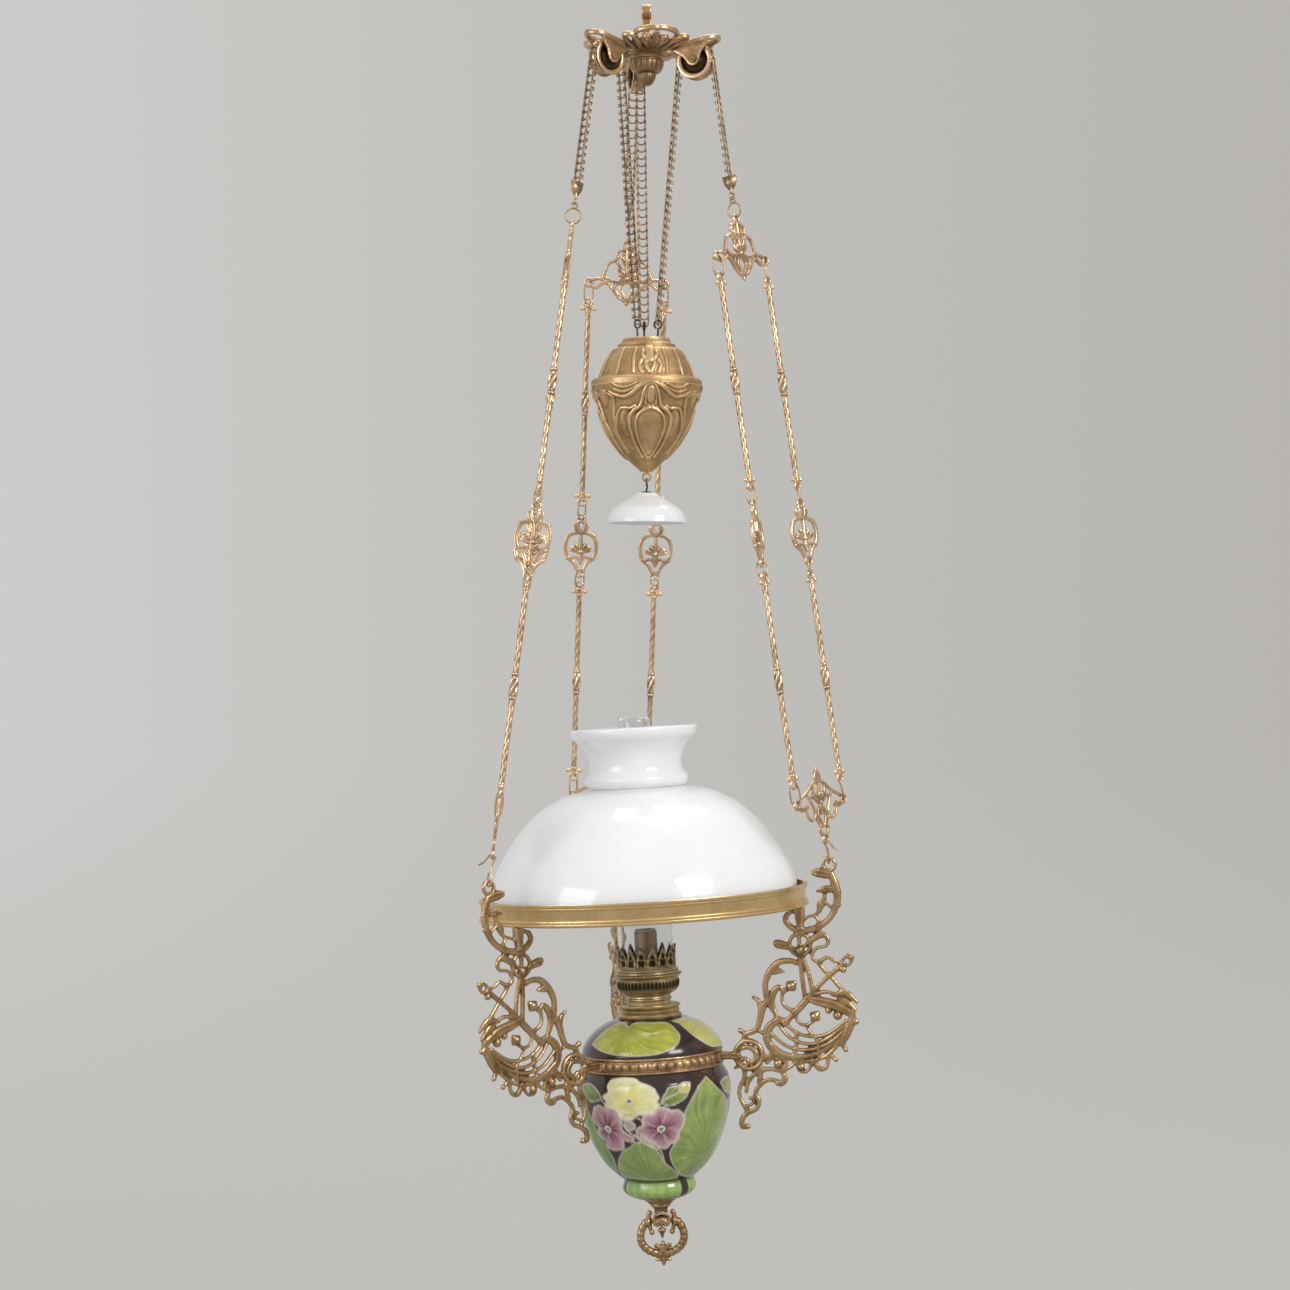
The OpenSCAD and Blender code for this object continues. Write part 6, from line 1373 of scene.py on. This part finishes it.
class LAMP_OT_vase(bpy.types.Operator):
    """Builds the painted vase bowl and dome and the brass band between them"""

    bl_idname = "lamp.vase"
    bl_label = "Vase"

    def execute(self, context):
        colours, sizes = looks()
        glaze = glaze_finish("majolica_glaze")
        ground, leaf, petal = (np.array(c) for c in (colours.ground, colours.leaf, colours.petal))
        cream, wine, rise = seen(226, 218, 196), seen(104, 38, 62), sizes.glaze_relief * 1000

        def glazed(outer, inner, around, paint):
            """A turned wall whose outer side is painted and stands out where it is, and its tints."""
            points, faces = lathe(np.vstack([outer, inner]), around)
            canvas = both_sides(points), np.tile(ground, (len(points), 1)), np.zeros(len(points))
            paint(canvas)
            lift = np.where(np.arange(len(points)) < len(outer) * around, canvas[2], 0.0)
            return placed((swollen(points, rise * lift), faces), hung), canvas[1]

        tall, rad = 126.5, 73.3
        shares = np.array([[0.907, 0], [0.948, 0.04], [0.985, 0.08], [1, 0.13], [1, 0.2231], [0.974, 0.3387],
                           [0.935, 0.4127], [0.869, 0.5283], [0.79, 0.6254], [0.692, 0.7161], [0.566, 0.7919],
                           [0.473, 0.8372], [0.46, 0.8539], [0.48, 0.889], [0.48, 0.926], [0.413, 0.9676],
                           [0.264, 1.0], [0.045, 1.0]])
        outer = spline(shares * [rad, -tall] + [0, BAND_LOW], 8)
        hollow = np.array([[3.3, 0.778], [14, 0.778], [28, 0.768], [44, 0.69], [58, 0.52], [67.5, 0.2]])
        lip = offset([(57.9, -8), (57.9, 9.5), (61.9, 9.5), (61.9, 0)], 0, BAND_LOW)
        inner = np.vstack([hollow * [1, -tall] + [0, BAND_LOW], lip])

        def bowl_paint(canvas):
            spots, tint, _ = canvas
            ring_z, ring_half, breaks = -1131.8, 8.6, (44.0, -72.0)
            low, green = spots[:, 1], seen(170, 200, 112)
            turn = spots[:, 0] / ARC
            gaps = np.min([np.abs(turn - a) for a in breaks], axis=0)
            ring = np.exp(-(((low - ring_z) / ring_half) ** 6)) * np.clip((gaps - 6.0) / 3.0, 0.0, 1.0)
            tint[:] = tint + (green * (0.92 + 0.08 * np.sin(turn * 0.4))[:, None] - tint) * ring[:, None]
            straw, lemon, ivory = seen(236, 214, 110), seen(243, 236, 165), seen(250, 249, 225)
            blush, dusty, chalk = seen(236, 212, 214), seen(170, 130, 130), seen(226, 210, 200)
            lights = {"slim": leafy((-58, -111), seen(88, 128, 48), seen(142, 178, 92), 4, 0.4),
                      "big": leafy((44.2, -95.6), leaf * 0.75, leaf * 1.35, 6, 1.2),
                      "mauve_edge": bloom((84, -63), wine, petal, seen(225, 200, 205), 15, 0.5, False),
                      "bud_edge": leafy((62, -34), seen(120, 135, 50), seen(190, 195, 100), 3, 2.0),
                      "yellow": bloom((-18.8, -39.5), straw, lemon, ivory, 34, 0.3),
                      "mauve_left": bloom((-40.8, -67), wine, petal, blush, 15, 0.9),
                      "mauve_right": bloom((4, -67), wine, petal, blush, 15, 2.4),
                      "bud_left": leafy((-43, -38), leaf * 0.4, leaf * 1.15, 3, 0.2),
                      "bud_right": leafy((5.5, -41.6), leaf * 0.45, leaf * 1.2, 3, 1.0),
                      "bud_tip": leafy((19, -33), seen(205, 185, 105), seen(236, 222, 150), 3, 0.0),
                      "heart": leafy((-11.5, -121), leaf * 0.7, leaf * 1.3, 7, 2.1),
                      "scrap_upper": bloom((-20, -62), dusty, seen(205, 180, 172), chalk, 9, 0.0, False),
                      "scrap_lower": bloom((-10, -78), dusty, seen(210, 188, 176), chalk, 9, 0.0, False)}
            for name, fill in lights.items():
                painted(canvas, FLOWERS[name], fill, cream)
            for line in STEMS:
                drawn(canvas, line, 0.8, seen(214, 206, 168))

        form, tint = glazed(outer, inner, 600, bowl_paint)
        piece("painted_bowl", form, glaze, "lamp", ["vase_bowl"], None, tint)

        top, low, rad = -970.0, -1001.0, 67.6
        tall = top - low
        shares = np.array([[0.457, 0], [0.6, 0.085], [0.743, 0.25], [0.85, 0.43], [0.928, 0.62], [0.98, 0.8],
                           [1, 0.94], [1, 1]])
        outer = spline(np.vstack([[[20, top]], shares * [rad, -tall] + [0, top]]), 9)
        hollow = np.array([[0.86, 0.62], [0.79, 0.45], [0.68, 0.29], [0.55, 0.17]]) * [rad, -tall] + [0, top]
        inner = np.vstack([[[56.6, low], [56.6, low + 5]], hollow, [[20, top - 4]]])

        def dome_paint(canvas):
            tones = ((seen(156, 165, 52), seen(208, 204, 96)), (seen(190, 188, 84), seen(222, 214, 122)))
            for (outline, node), (dark, light) in zip(LILIES, tones):
                painted(canvas, outline, leafy(node, dark, light, 7, 0.7), cream)

        form, tint = glazed(outer, inner, 540, dome_paint)
        piece("painted_dome", form, glaze, "font", ["font_dome"], None, tint)

        line = [(0, 0), (4.8, 0), (6.2, 0.8), (6.2, 2), (4.8, 2.9), (4.5, 3.6), (5.5, 5.4), (6, 7.7),
                (5.5, 10), (4.5, 11.8), (4.8, 12.5), (6, 13.3), (6, 14.6), (4.9, 15.4), (0, 15.5)]
        line = spline(offset(line, BAND_R, BAND_LOW), 5)

        def eggs(radius, angle, high):
            middle = np.exp(-(((high - BAND_LOW - 7.75) / 3.6) ** 4))
            return radius + middle * (1.5 * np.abs(np.cos(24 * angle)) - 0.8) * (radius > BAND_R + 2)

        form = placed(lathe(line, 384, eggs), hung)
        relief = relief_of(form, 2, 1.8)
        pad = fused([prism([[63.5, -1013], [70.5, -1013], [70.5, -1004.4], [63.5, -1004.4]], -6.0, 6.0)], 0.8)
        pads = [placed(pad, lambda p, az=az: hung(spun(p, az))) for az in AZIMUTH]
        whole = joined([form] + pads)
        relief = np.concatenate([relief, np.zeros(len(whole[0]) - len(relief))])
        band = metal_finish("band_gilding", np.array(colours.gilt) * (0.9, 0.866, 0.78), 0.4, 0.8, 1.1)
        piece("beaded_band", whole, band, "lamp", ["vase_band"], relief)
        return {"FINISHED"}


class LAMP_OT_handle(bpy.types.Operator):
    """Builds the foot cap, the handle's mount and the hinged pull ring"""

    bl_idname = "lamp.handle"
    bl_label = "Handle"

    def execute(self, context):
        finish = bronze()
        bottom = -1143.0
        line = [(3.1, 0), (13.4, 0), (15.2, -1.2), (14.6, -2.6), (12.2, -3.4), (11.6, -4.4), (11, -5.4),
                (3.1, -5.6)]
        line = spline(offset(line, 0, bottom), 5)
        form = placed(lathe(line, 96, lambda r, a, z: r * (1 + 0.02 * np.abs(np.cos(14 * a)))), hung)
        piece("fluted_cap", form, finish, "lamp", ["foot_cap"], relief_of(form, 1, 1.2))
        pivot, z0 = -1165.5, bottom - 5.6
        line = [(AXIS, 0), (9, 0), (10, -2), (7.2, -4.2), (6.2, -7), (6.6, -9), (AXIS, -9)]
        shells = [lathe(spline(offset(line, 0, z0), 5), 48)]
        shells.append(tube([[-4.6, 0, pivot], [0, 0, pivot + 0.6], [4.6, 0, pivot]], [4.8, 5.6, 4.8],
                           [5.2, 6.0, 5.2], DEEP, 14))
        for s in (-1.0, 1.0):
            curl = spline([[s * 1, 0, z0 - 8], [s * 5, 0, z0 - 9.5], [s * 7.4, 0, pivot + 4],
                           [s * 6.8, 0, pivot - 2.5], [s * 3.8, 0, pivot - 3.6], [s * 3.2, 0, pivot + 0.4]],
                          6)
            shells.append(tube(curl + [0, -4.6, 0], 1.4, 1.6, DEEP, 8))
        for a in np.radians([-50, -25, 0, 25, 50]):
            ray = [[np.sin(a) * far, -np.cos(a) * far] for far in (0.0, 5.0, 8.4)]
            leaf = stroke(ray, [2.2, 3.0, 2.0], 4.4, 4)
            shells.append(placed(leaf, lambda p: p + [0, -4.4, pivot + 3.0]))
        shells.append(ball((0.0, -3.4, pivot - 8.6), (4.2, 3.2, 2.8)))
        shells.append(tube([[0, -3.4, pivot - 9.0], [0, -3.4, pivot - 13.0], [0, -3.4, pivot - 16.0]],
                           [2.8, 2.0, 0.8], [2.6, 1.9, 0.8], DEEP, 10))
        form = placed(fused(shells, 0.5), hung)
        piece("palmette_mount", form, finish, "lamp", ["handle_mount"], relief_of(form, *CAST_WEAR))

        centre, r, squat = -1181.1, 21.0, 0.78
        t = np.radians(np.linspace(138, 402, 150))
        thick = 3.5 * (1 + 0.16 * np.abs(np.cos(np.linspace(0, 17 * np.pi, 150))))
        high = r * np.sin(t) * np.where(np.sin(t) < 0, squat, 1.0)
        path = np.stack([r * np.cos(t), 0 * t, centre + high], 1)
        shells = [tube(path, thick, 0.92 * thick, DEEP, 14)]
        foot = centre - r * squat
        for s in (-1.0, 1.0):
            shells.append(ball((s * 13.2, 0.0, pivot - 1.0), (3.6, 4.0, 4.6)))
            shells.append(stroke([[s * 9.6, pivot + 7.4], [s * 10.8, pivot + 9.0], [s * 12.2, pivot + 6.5],
                                  [s * 12.0, pivot], [s * 11.4, pivot - 6.0], [s * 10.2, pivot - 9.6]],
                                 [2.6, 3.4, 4.6, 5.4, 4.6, 3.0], 7.0))
            shells.append(ball((s * 9.8, 0.0, pivot - 11.0), (2.7, 2.6, 2.7)))
            shells.append(stroke([[0, foot + 3], [s * 4.0, foot + 6.6], [s * 6.8, foot + 9.0],
                                  [s * 7.4, foot + 7.0]], [4.8, 4.6, 3.2, 2.2], 6.0))
            shells.append(stroke([[0, foot - 2], [s * 4.4, foot - 5.0], [s * 7.2, foot - 5.4]],
                                 [4.6, 4.4, 2.4], 6.0))
        shells.append(tube([[-13.4, 0, pivot], [13.4, 0, pivot]], 1.8, 1.8, DEEP, 12))
        shells.append(stroke([[0, foot + 10.5], [0, foot + 3], [0, foot - 4], [0, foot - 9.5]],
                             [4.6, 7.4, 7.0, 3.8], 9.0))
        form = placed(fused(shells, 0.5), hung)
        piece("gadrooned_ring", form, finish, "pull_ring", ["pull_ring"], relief_of(form, *CAST_WEAR))
        dress(finish, "foot_bolt")
        return {"FINISHED"}


WEIGHT_R, WEIGHT_TOP, WEIGHT_TALL = 53.5, -315.6, 128.3
# The counterweight's profile, in shares of its radius and height.
WEIGHT_LINE = [
    [0.424, 0], [0.45, 0.03], [0.517, 0.045], [0.525, 0.067], [0.613, 0.09], [0.72, 0.157], [0.802, 0.233],
    [0.848, 0.285], [0.902, 0.301], [0.992, 0.316], [1, 0.361], [0.974, 0.398], [0.938, 0.443],
    [0.875, 0.511], [0.785, 0.646], [0.648, 0.752], [0.462, 0.857], [0.26, 0.94], [0.1, 1],
]
# A panel's strokes: points (across, down) in a flat drawing of this half width and height, half width, rise.
DRAWING_R, DRAWING_TALL = 393.0, 955.0
PANEL_TURN = 85.0
WEIGHT_BOWL = [
    ([(38, 495), (36, 440), (25, 395), (0, 375)], 1.0, 0.6),
    ([(0, 358), (30, 370), (52, 420), (64, 480), (80, 515), (114, 538), (140, 575), (142, 630), (125, 700),
        (85, 790), (40, 855)], 1.5, 1.0),
    ([(10, 525), (45, 538), (80, 565), (100, 610), (98, 665), (75, 745), (35, 825), (0, 870)], 1.2, 0.8),
    ([(110, 510), (140, 525), (170, 520), (200, 522), (220, 560), (226, 615), (215, 680), (180, 755),
        (135, 820)], 1.4, 0.9),
    ([(255, 440), (245, 510), (240, 590), (225, 670), (185, 750)], 1.3, 0.8),
    ([(278, 405), (240, 430), (180, 445), (130, 418), (80, 378), (30, 352), (0, 345)], 1.7, 1.0),
    ([(270, 340), (230, 370), (170, 378), (110, 355)], 1.2, 0.7),
    ([(250, 390), (190, 410), (130, 390), (70, 355)], 1.2, 0.7),
    ([(180, 540), (192, 590), (175, 650), (155, 700)], 2.3, 0.5),
    ([(320, 430), (318, 520), (295, 630), (240, 740)], 6.5, 0.9),
    ([(350, 430), (320, 415), (285, 420), (265, 435)], 1.7, 1.0), ([(0, 570), (0, 770)], 9.0, 0.35),
    ([(0, 395), (0, 465)], 3.2, 0.9),
]
WEIGHT_LID = [
    ([(170, 85), (200, 160), (230, 270)], 1.3, 0.8), ([(215, 85), (260, 160), (300, 270)], 1.3, 0.8),
    ([(5, 75), (5, 170)], 3.2, 0.9), ([(30, 170), (50, 140), (45, 110)], 1.6, 0.8),
    ([(5, 265), (25, 220), (30, 190)], 1.5, 0.8), ([(90, 90), (110, 150), (120, 265)], 1.3, 0.7),
    ([(60, 265), (75, 210), (60, 180)], 1.5, 0.7), ([(330, 120), (345, 180), (360, 270)], 1.4, 0.7),
]


def chased(strokes, points):
    """Height of a relief on a turned body: three equal panels, each mirrored about its middle; every stroke
    is a rounded ridge along a curve given in the panel's flat drawing."""
    shares = np.array(WEIGHT_LINE)
    far = np.linalg.norm(points[:, :2], axis=1)
    angle = np.degrees(np.arctan2(points[:, 1], points[:, 0])) + PANEL_TURN
    angle = np.radians(np.abs(np.mod(angle + 60.0, 120.0) - 60.0))
    high = np.zeros(len(points))
    for line, half, rise in strokes:
        line = spline(np.array(line, float), 4)
        share = line[:, 1] / DRAWING_TALL
        wide = DRAWING_R * np.interp(share, shares[:, 1], shares[:, 0])
        turn = np.arcsin(np.clip(line[:, 0] / wide, -0.98, 0.98))
        near = np.full(len(points), 1e9)
        spot = np.stack([angle * far, points[:, 2]], 1)
        for k in range(len(line) - 1):
            a = np.stack([turn[k] * far, np.full(len(far), WEIGHT_TOP - WEIGHT_TALL * share[k])], 1)
            drop = np.full(len(far), -WEIGHT_TALL * (share[k + 1] - share[k]))
            run = np.stack([(turn[k + 1] - turn[k]) * far, drop], 1)
            step = np.clip(np.sum((spot - a) * run, 1) / np.maximum(np.sum(run * run, 1), 1e-9), 0.0, 1.0)
            near = np.minimum(near, np.linalg.norm(spot - a - step[:, None] * run, axis=1))
        high = np.maximum(high, rise * np.sqrt(np.clip(1 - (near / (half * 1.15)) ** 2, 0.0, 1.0)))
    return high


class LAMP_OT_counterweight(bpy.types.Operator):
    """Builds the counterweight's relief shells and wire hooks"""

    bl_idname = "lamp.counterweight"
    bl_label = "Counterweight"

    def execute(self, context):
        finish = antique()
        rise = looks()[1].weight_relief * 1000
        line = np.array(WEIGHT_LINE) * [WEIGHT_R, -WEIGHT_TALL] + [0, WEIGHT_TOP]

        def embossed(name, node, outer, inner, around, strokes):
            """A turned shell whose outer side carries a relief."""
            points, faces = lathe(np.vstack([outer, inner]), around)
            skin_rows = np.arange(len(points)) < len(outer) * around
            high = np.where(skin_rows, chased(strokes, points), 0.0)
            form = swollen(points, rise * high), faces
            tone = np.where(skin_rows, 0.1 * high, 0.0) + relief_of(form, 2, 2.6)
            piece(name, form, finish, "counterweight", [node], np.clip(tone, -1.0, 1.0))

        rim, wall = 10, [3.0, 0]
        outer = np.vstack([[[AXIS, WEIGHT_TOP]], spline(line[:rim + 1], 9)])
        inner = np.vstack([line[rim:1:-1] - wall, [[AXIS, line[2, 1]]]])
        embossed("relief_lid", "weight_lid", outer, inner, 420, WEIGHT_LID)
        inner = np.vstack([[[AXIS, line[18, 1]], [AXIS, line[17, 1]]], line[17:rim - 1:-1] - wall])
        embossed("relief_bowl", "weight_bowl", spline(line[rim:], 18), inner, 510, WEIGHT_BOWL)
        dress(finish, "weight_eye")
        dress(dark_wire(), "weight_ballast")
        hooks = []
        for az in AZIMUTH:
            t = np.radians(np.linspace(-80, 235, 22))
            loop = np.stack([HOOK_R + 3.6 * np.cos(t), 0 * t, HOOK_Z + 4.0 * np.sin(t)], 1)
            root = [[HOOK_R, 0, HOOK_Z - 20.0], [HOOK_R, 0, HOOK_Z - 10.0], [HOOK_R + 0.2, 0, HOOK_Z - 5.5]]
            stem = np.vstack([root, loop])
            hooks.append(placed(tube(stem, 1.0, 1.0, DEEP, 8), lambda p, az=az: spun(p, az)))
        piece("weight_wire_hooks", joined(hooks), dark_wire(), "counterweight", ["weight_hooks"])
        return {"FINISHED"}


class LAMP_OT_bell(bpy.types.Operator):
    """Builds the smoke bell and its wire hook"""

    bl_idname = "lamp.bell"
    bl_label = "Smoke bell"

    def execute(self, context):
        top = -464.3
        outer = np.array([[0.036, 0], [0.25, 0], [0.35, 0.1], [0.6, 0.3], [0.85, 0.53], [0.964, 0.77],
                          [1, 1]])
        outer = spline(outer * [38.6, -29.0] + [0, top], 8)
        inner = [(36.4, -29), (35, -23), (30.6, -16), (21, -9.3), (11.3, -3.5), (6, -2.5), (1.4, -2.5)]
        inner = spline(offset(inner, 0, top), 6)
        milk = opal_finish("opal_glass", looks()[0].opal)
        piece("bell_opal", lathe(np.vstack([outer, inner]), 128), milk, "smoke_bell", ["bell_glass"])
        wire = spline([[0, 3.4, -456.0], [0, 4.2, -453.0], [0, 2.8, -450.8], [0, 0, -450.3],
                       [0, -2.8, -450.8], [0, -4.2, -453.2], [0.4, -3.4, -456.4], [0.6, -1.2, -459.4],
                       [0, 0, -462.0], [0, 0, -472.0]], 6)
        shells = [tube(wire, 0.9, 0.9, ACROSS, 8)]
        for line in ([(AXIS, 0), (4.6, 0), (5, 0.6), (4.4, 1.5), (AXIS, 1.7)],
                     [(AXIS, -7), (3.6, -7), (4, -6), (4, -2.7), (AXIS, -2.7)]):
            shells.append(lathe(offset(line, 0, top), 32))
        piece("bell_wire_hook", joined(shells), dark_wire(), "smoke_bell", ["bell_hook"])
        return {"FINISHED"}


class LAMP_OT_stage(bpy.types.Operator):
    """Sets the pale studio, its soft lights and the camera at the height of the shade"""

    bl_idname = "lamp.stage"
    bl_label = "Studio"

    def execute(self, context):
        colours, sizes = looks()
        scene = context.scene
        scene.view_settings.view_transform = "Standard"
        grey = np.array(colours.backdrop)
        world = bpy.data.worlds.new("studio")
        scene.world = world
        world.use_nodes = True
        tree = world.node_tree
        tree.nodes.clear()
        out = tree.nodes.new("ShaderNodeOutputWorld")
        rays = tree.nodes.new("ShaderNodeLightPath")
        shown = rays.outputs["Is Camera Ray"]
        for kind in ("Is Glossy Ray", "Is Transmission Ray"):
            shown = knot(tree, "ShaderNodeMath", {0: shown, 1: rays.outputs[kind]},
                         operation="MAXIMUM").outputs[0]
        fill = knot(tree, "ShaderNodeBackground", {"Color": (0.9, 0.93, 0.97, 1.0), "Strength": 0.55})
        # Painted light falloff on the backdrop seen by the camera: lighter to the left and darker to the
        # right, evening out towards the bottom.
        way = tree.nodes.new("ShaderNodeTexCoord").outputs["Generated"]
        sides = knot(tree, "ShaderNodeSeparateXYZ", {0: way})
        fade = mapped(tree, sides.outputs["Z"], 0.0, 1.0, -0.2, -0.04)
        across = knot(tree, "ShaderNodeMath", {0: sides.outputs["X"], 1: fade},
                      operation="MULTIPLY").outputs[0]
        share = mapped(tree, across, 0.0, 1.0, -0.24, 0.24)
        tone = ramp(tree, share, [(0.0, grey * (1.13, 1.17, 1.2)), (0.35, grey * 1.03), (0.7, grey * 0.94),
                                  (1.0, grey * (0.9, 0.88, 0.86))])
        falloff_backdrop = knot(tree, "ShaderNodeBackground", {"Color": tone, "Strength": 1.0})
        mix = knot(tree, "ShaderNodeMixShader", {0: shown, 1: fill.outputs[0], 2: falloff_backdrop.outputs[0]})
        tree.links.new(mix.outputs[0], out.inputs["Surface"])

        mesh = bpy.data.meshes.new("floor")
        floor_r, t = 2.9, turns(64)
        rim = np.stack([floor_r * np.cos(t), floor_r * np.sin(t), np.full(len(t), sizes.floor_drop)], 1)
        mesh.from_pydata(rim.tolist(), [], [list(range(len(t)))])
        floor = bpy.data.objects.new("floor", mesh)
        scene.collection.objects.link(floor)
        mesh.materials.append(floor_finish("floor_grey", grey))

        for name, spot, aim, size, power in (
                ("key", (1.6, -1.9, 0.6), (0, 0, -0.75), 1.1, 38.0),
                ("fill", (-1.9, -1.5, -0.2), (0, 0, -0.8), 1.2, 15.0),
                ("top", (0.2, 0.6, 1.6), (0, 0, -0.7), 1.6, 22.0)):
            data = bpy.data.lights.new(name, "AREA")
            data.shape = "SQUARE"
            data.size = size
            data.energy = power
            lamp = bpy.data.objects.new(name, data)
            way = np.array(aim) - np.array(spot)
            lamp.location = spot
            lamp.rotation_euler = (np.arctan2(np.hypot(way[0], way[1]), -way[2]), 0.0,
                                   np.arctan2(way[1], way[0]) - np.pi / 2)
            scene.collection.objects.link(lamp)

        picture_px, mm_per_px, shift_px, sensor = 1290.0, 0.965, 4.3, 36.0
        data = bpy.data.cameras.new("camera")
        data.sensor_width = sensor
        data.lens = sensor * sizes.camera_far * 1000 / (picture_px * mm_per_px)
        data.shift_y = shift_px / picture_px
        camera = bpy.data.objects.new("camera", data)
        camera.location = (-0.00145, -sizes.camera_far, -0.615)
        camera.rotation_euler = (np.pi / 2, 0.0, 0.0)
        scene.collection.objects.link(camera)
        scene.camera = camera
        return {"FINISHED"}


STEPS = (LAMP_OT_corona, LAMP_OT_chains, LAMP_OT_legs, LAMP_OT_arms, LAMP_OT_shade, LAMP_OT_burner,
         LAMP_OT_vase, LAMP_OT_handle, LAMP_OT_counterweight, LAMP_OT_bell, LAMP_OT_stage)


class LAMP_PT_parts(bpy.types.Panel):
    """Lists the lamp's pieces in the sidebar"""

    bl_idname = "LAMP_PT_parts"
    bl_label = "Hanging oil lamp"
    bl_space_type = "VIEW_3D"
    bl_region_type = "UI"
    bl_category = "Lamp"

    def draw(self, context):
        for step in STEPS:
            self.layout.operator(step.bl_idname)
        for group in (context.scene.lamp_finish, context.scene.lamp_sizes):
            for name in group.__annotations__:
                self.layout.prop(group, name)


CLASSES = (LampFinish, LampSizes, *STEPS, LAMP_PT_parts)


def register():
    """Adds the classes and the two groups of settings to Blender."""
    for each in CLASSES:
        bpy.utils.register_class(each)
    bpy.types.Scene.lamp_finish = PointerProperty(type=LampFinish)
    bpy.types.Scene.lamp_sizes = PointerProperty(type=LampSizes)


def unregister():
    """Takes the groups and classes away again."""
    del bpy.types.Scene.lamp_finish
    del bpy.types.Scene.lamp_sizes
    for each in reversed(CLASSES):
        bpy.utils.unregister_class(each)


def main():
    register()
    for step in STEPS:
        group, name = step.bl_idname.split(".")
        getattr(getattr(bpy.ops, group), name)()


if __name__ == "__main__":
    main()
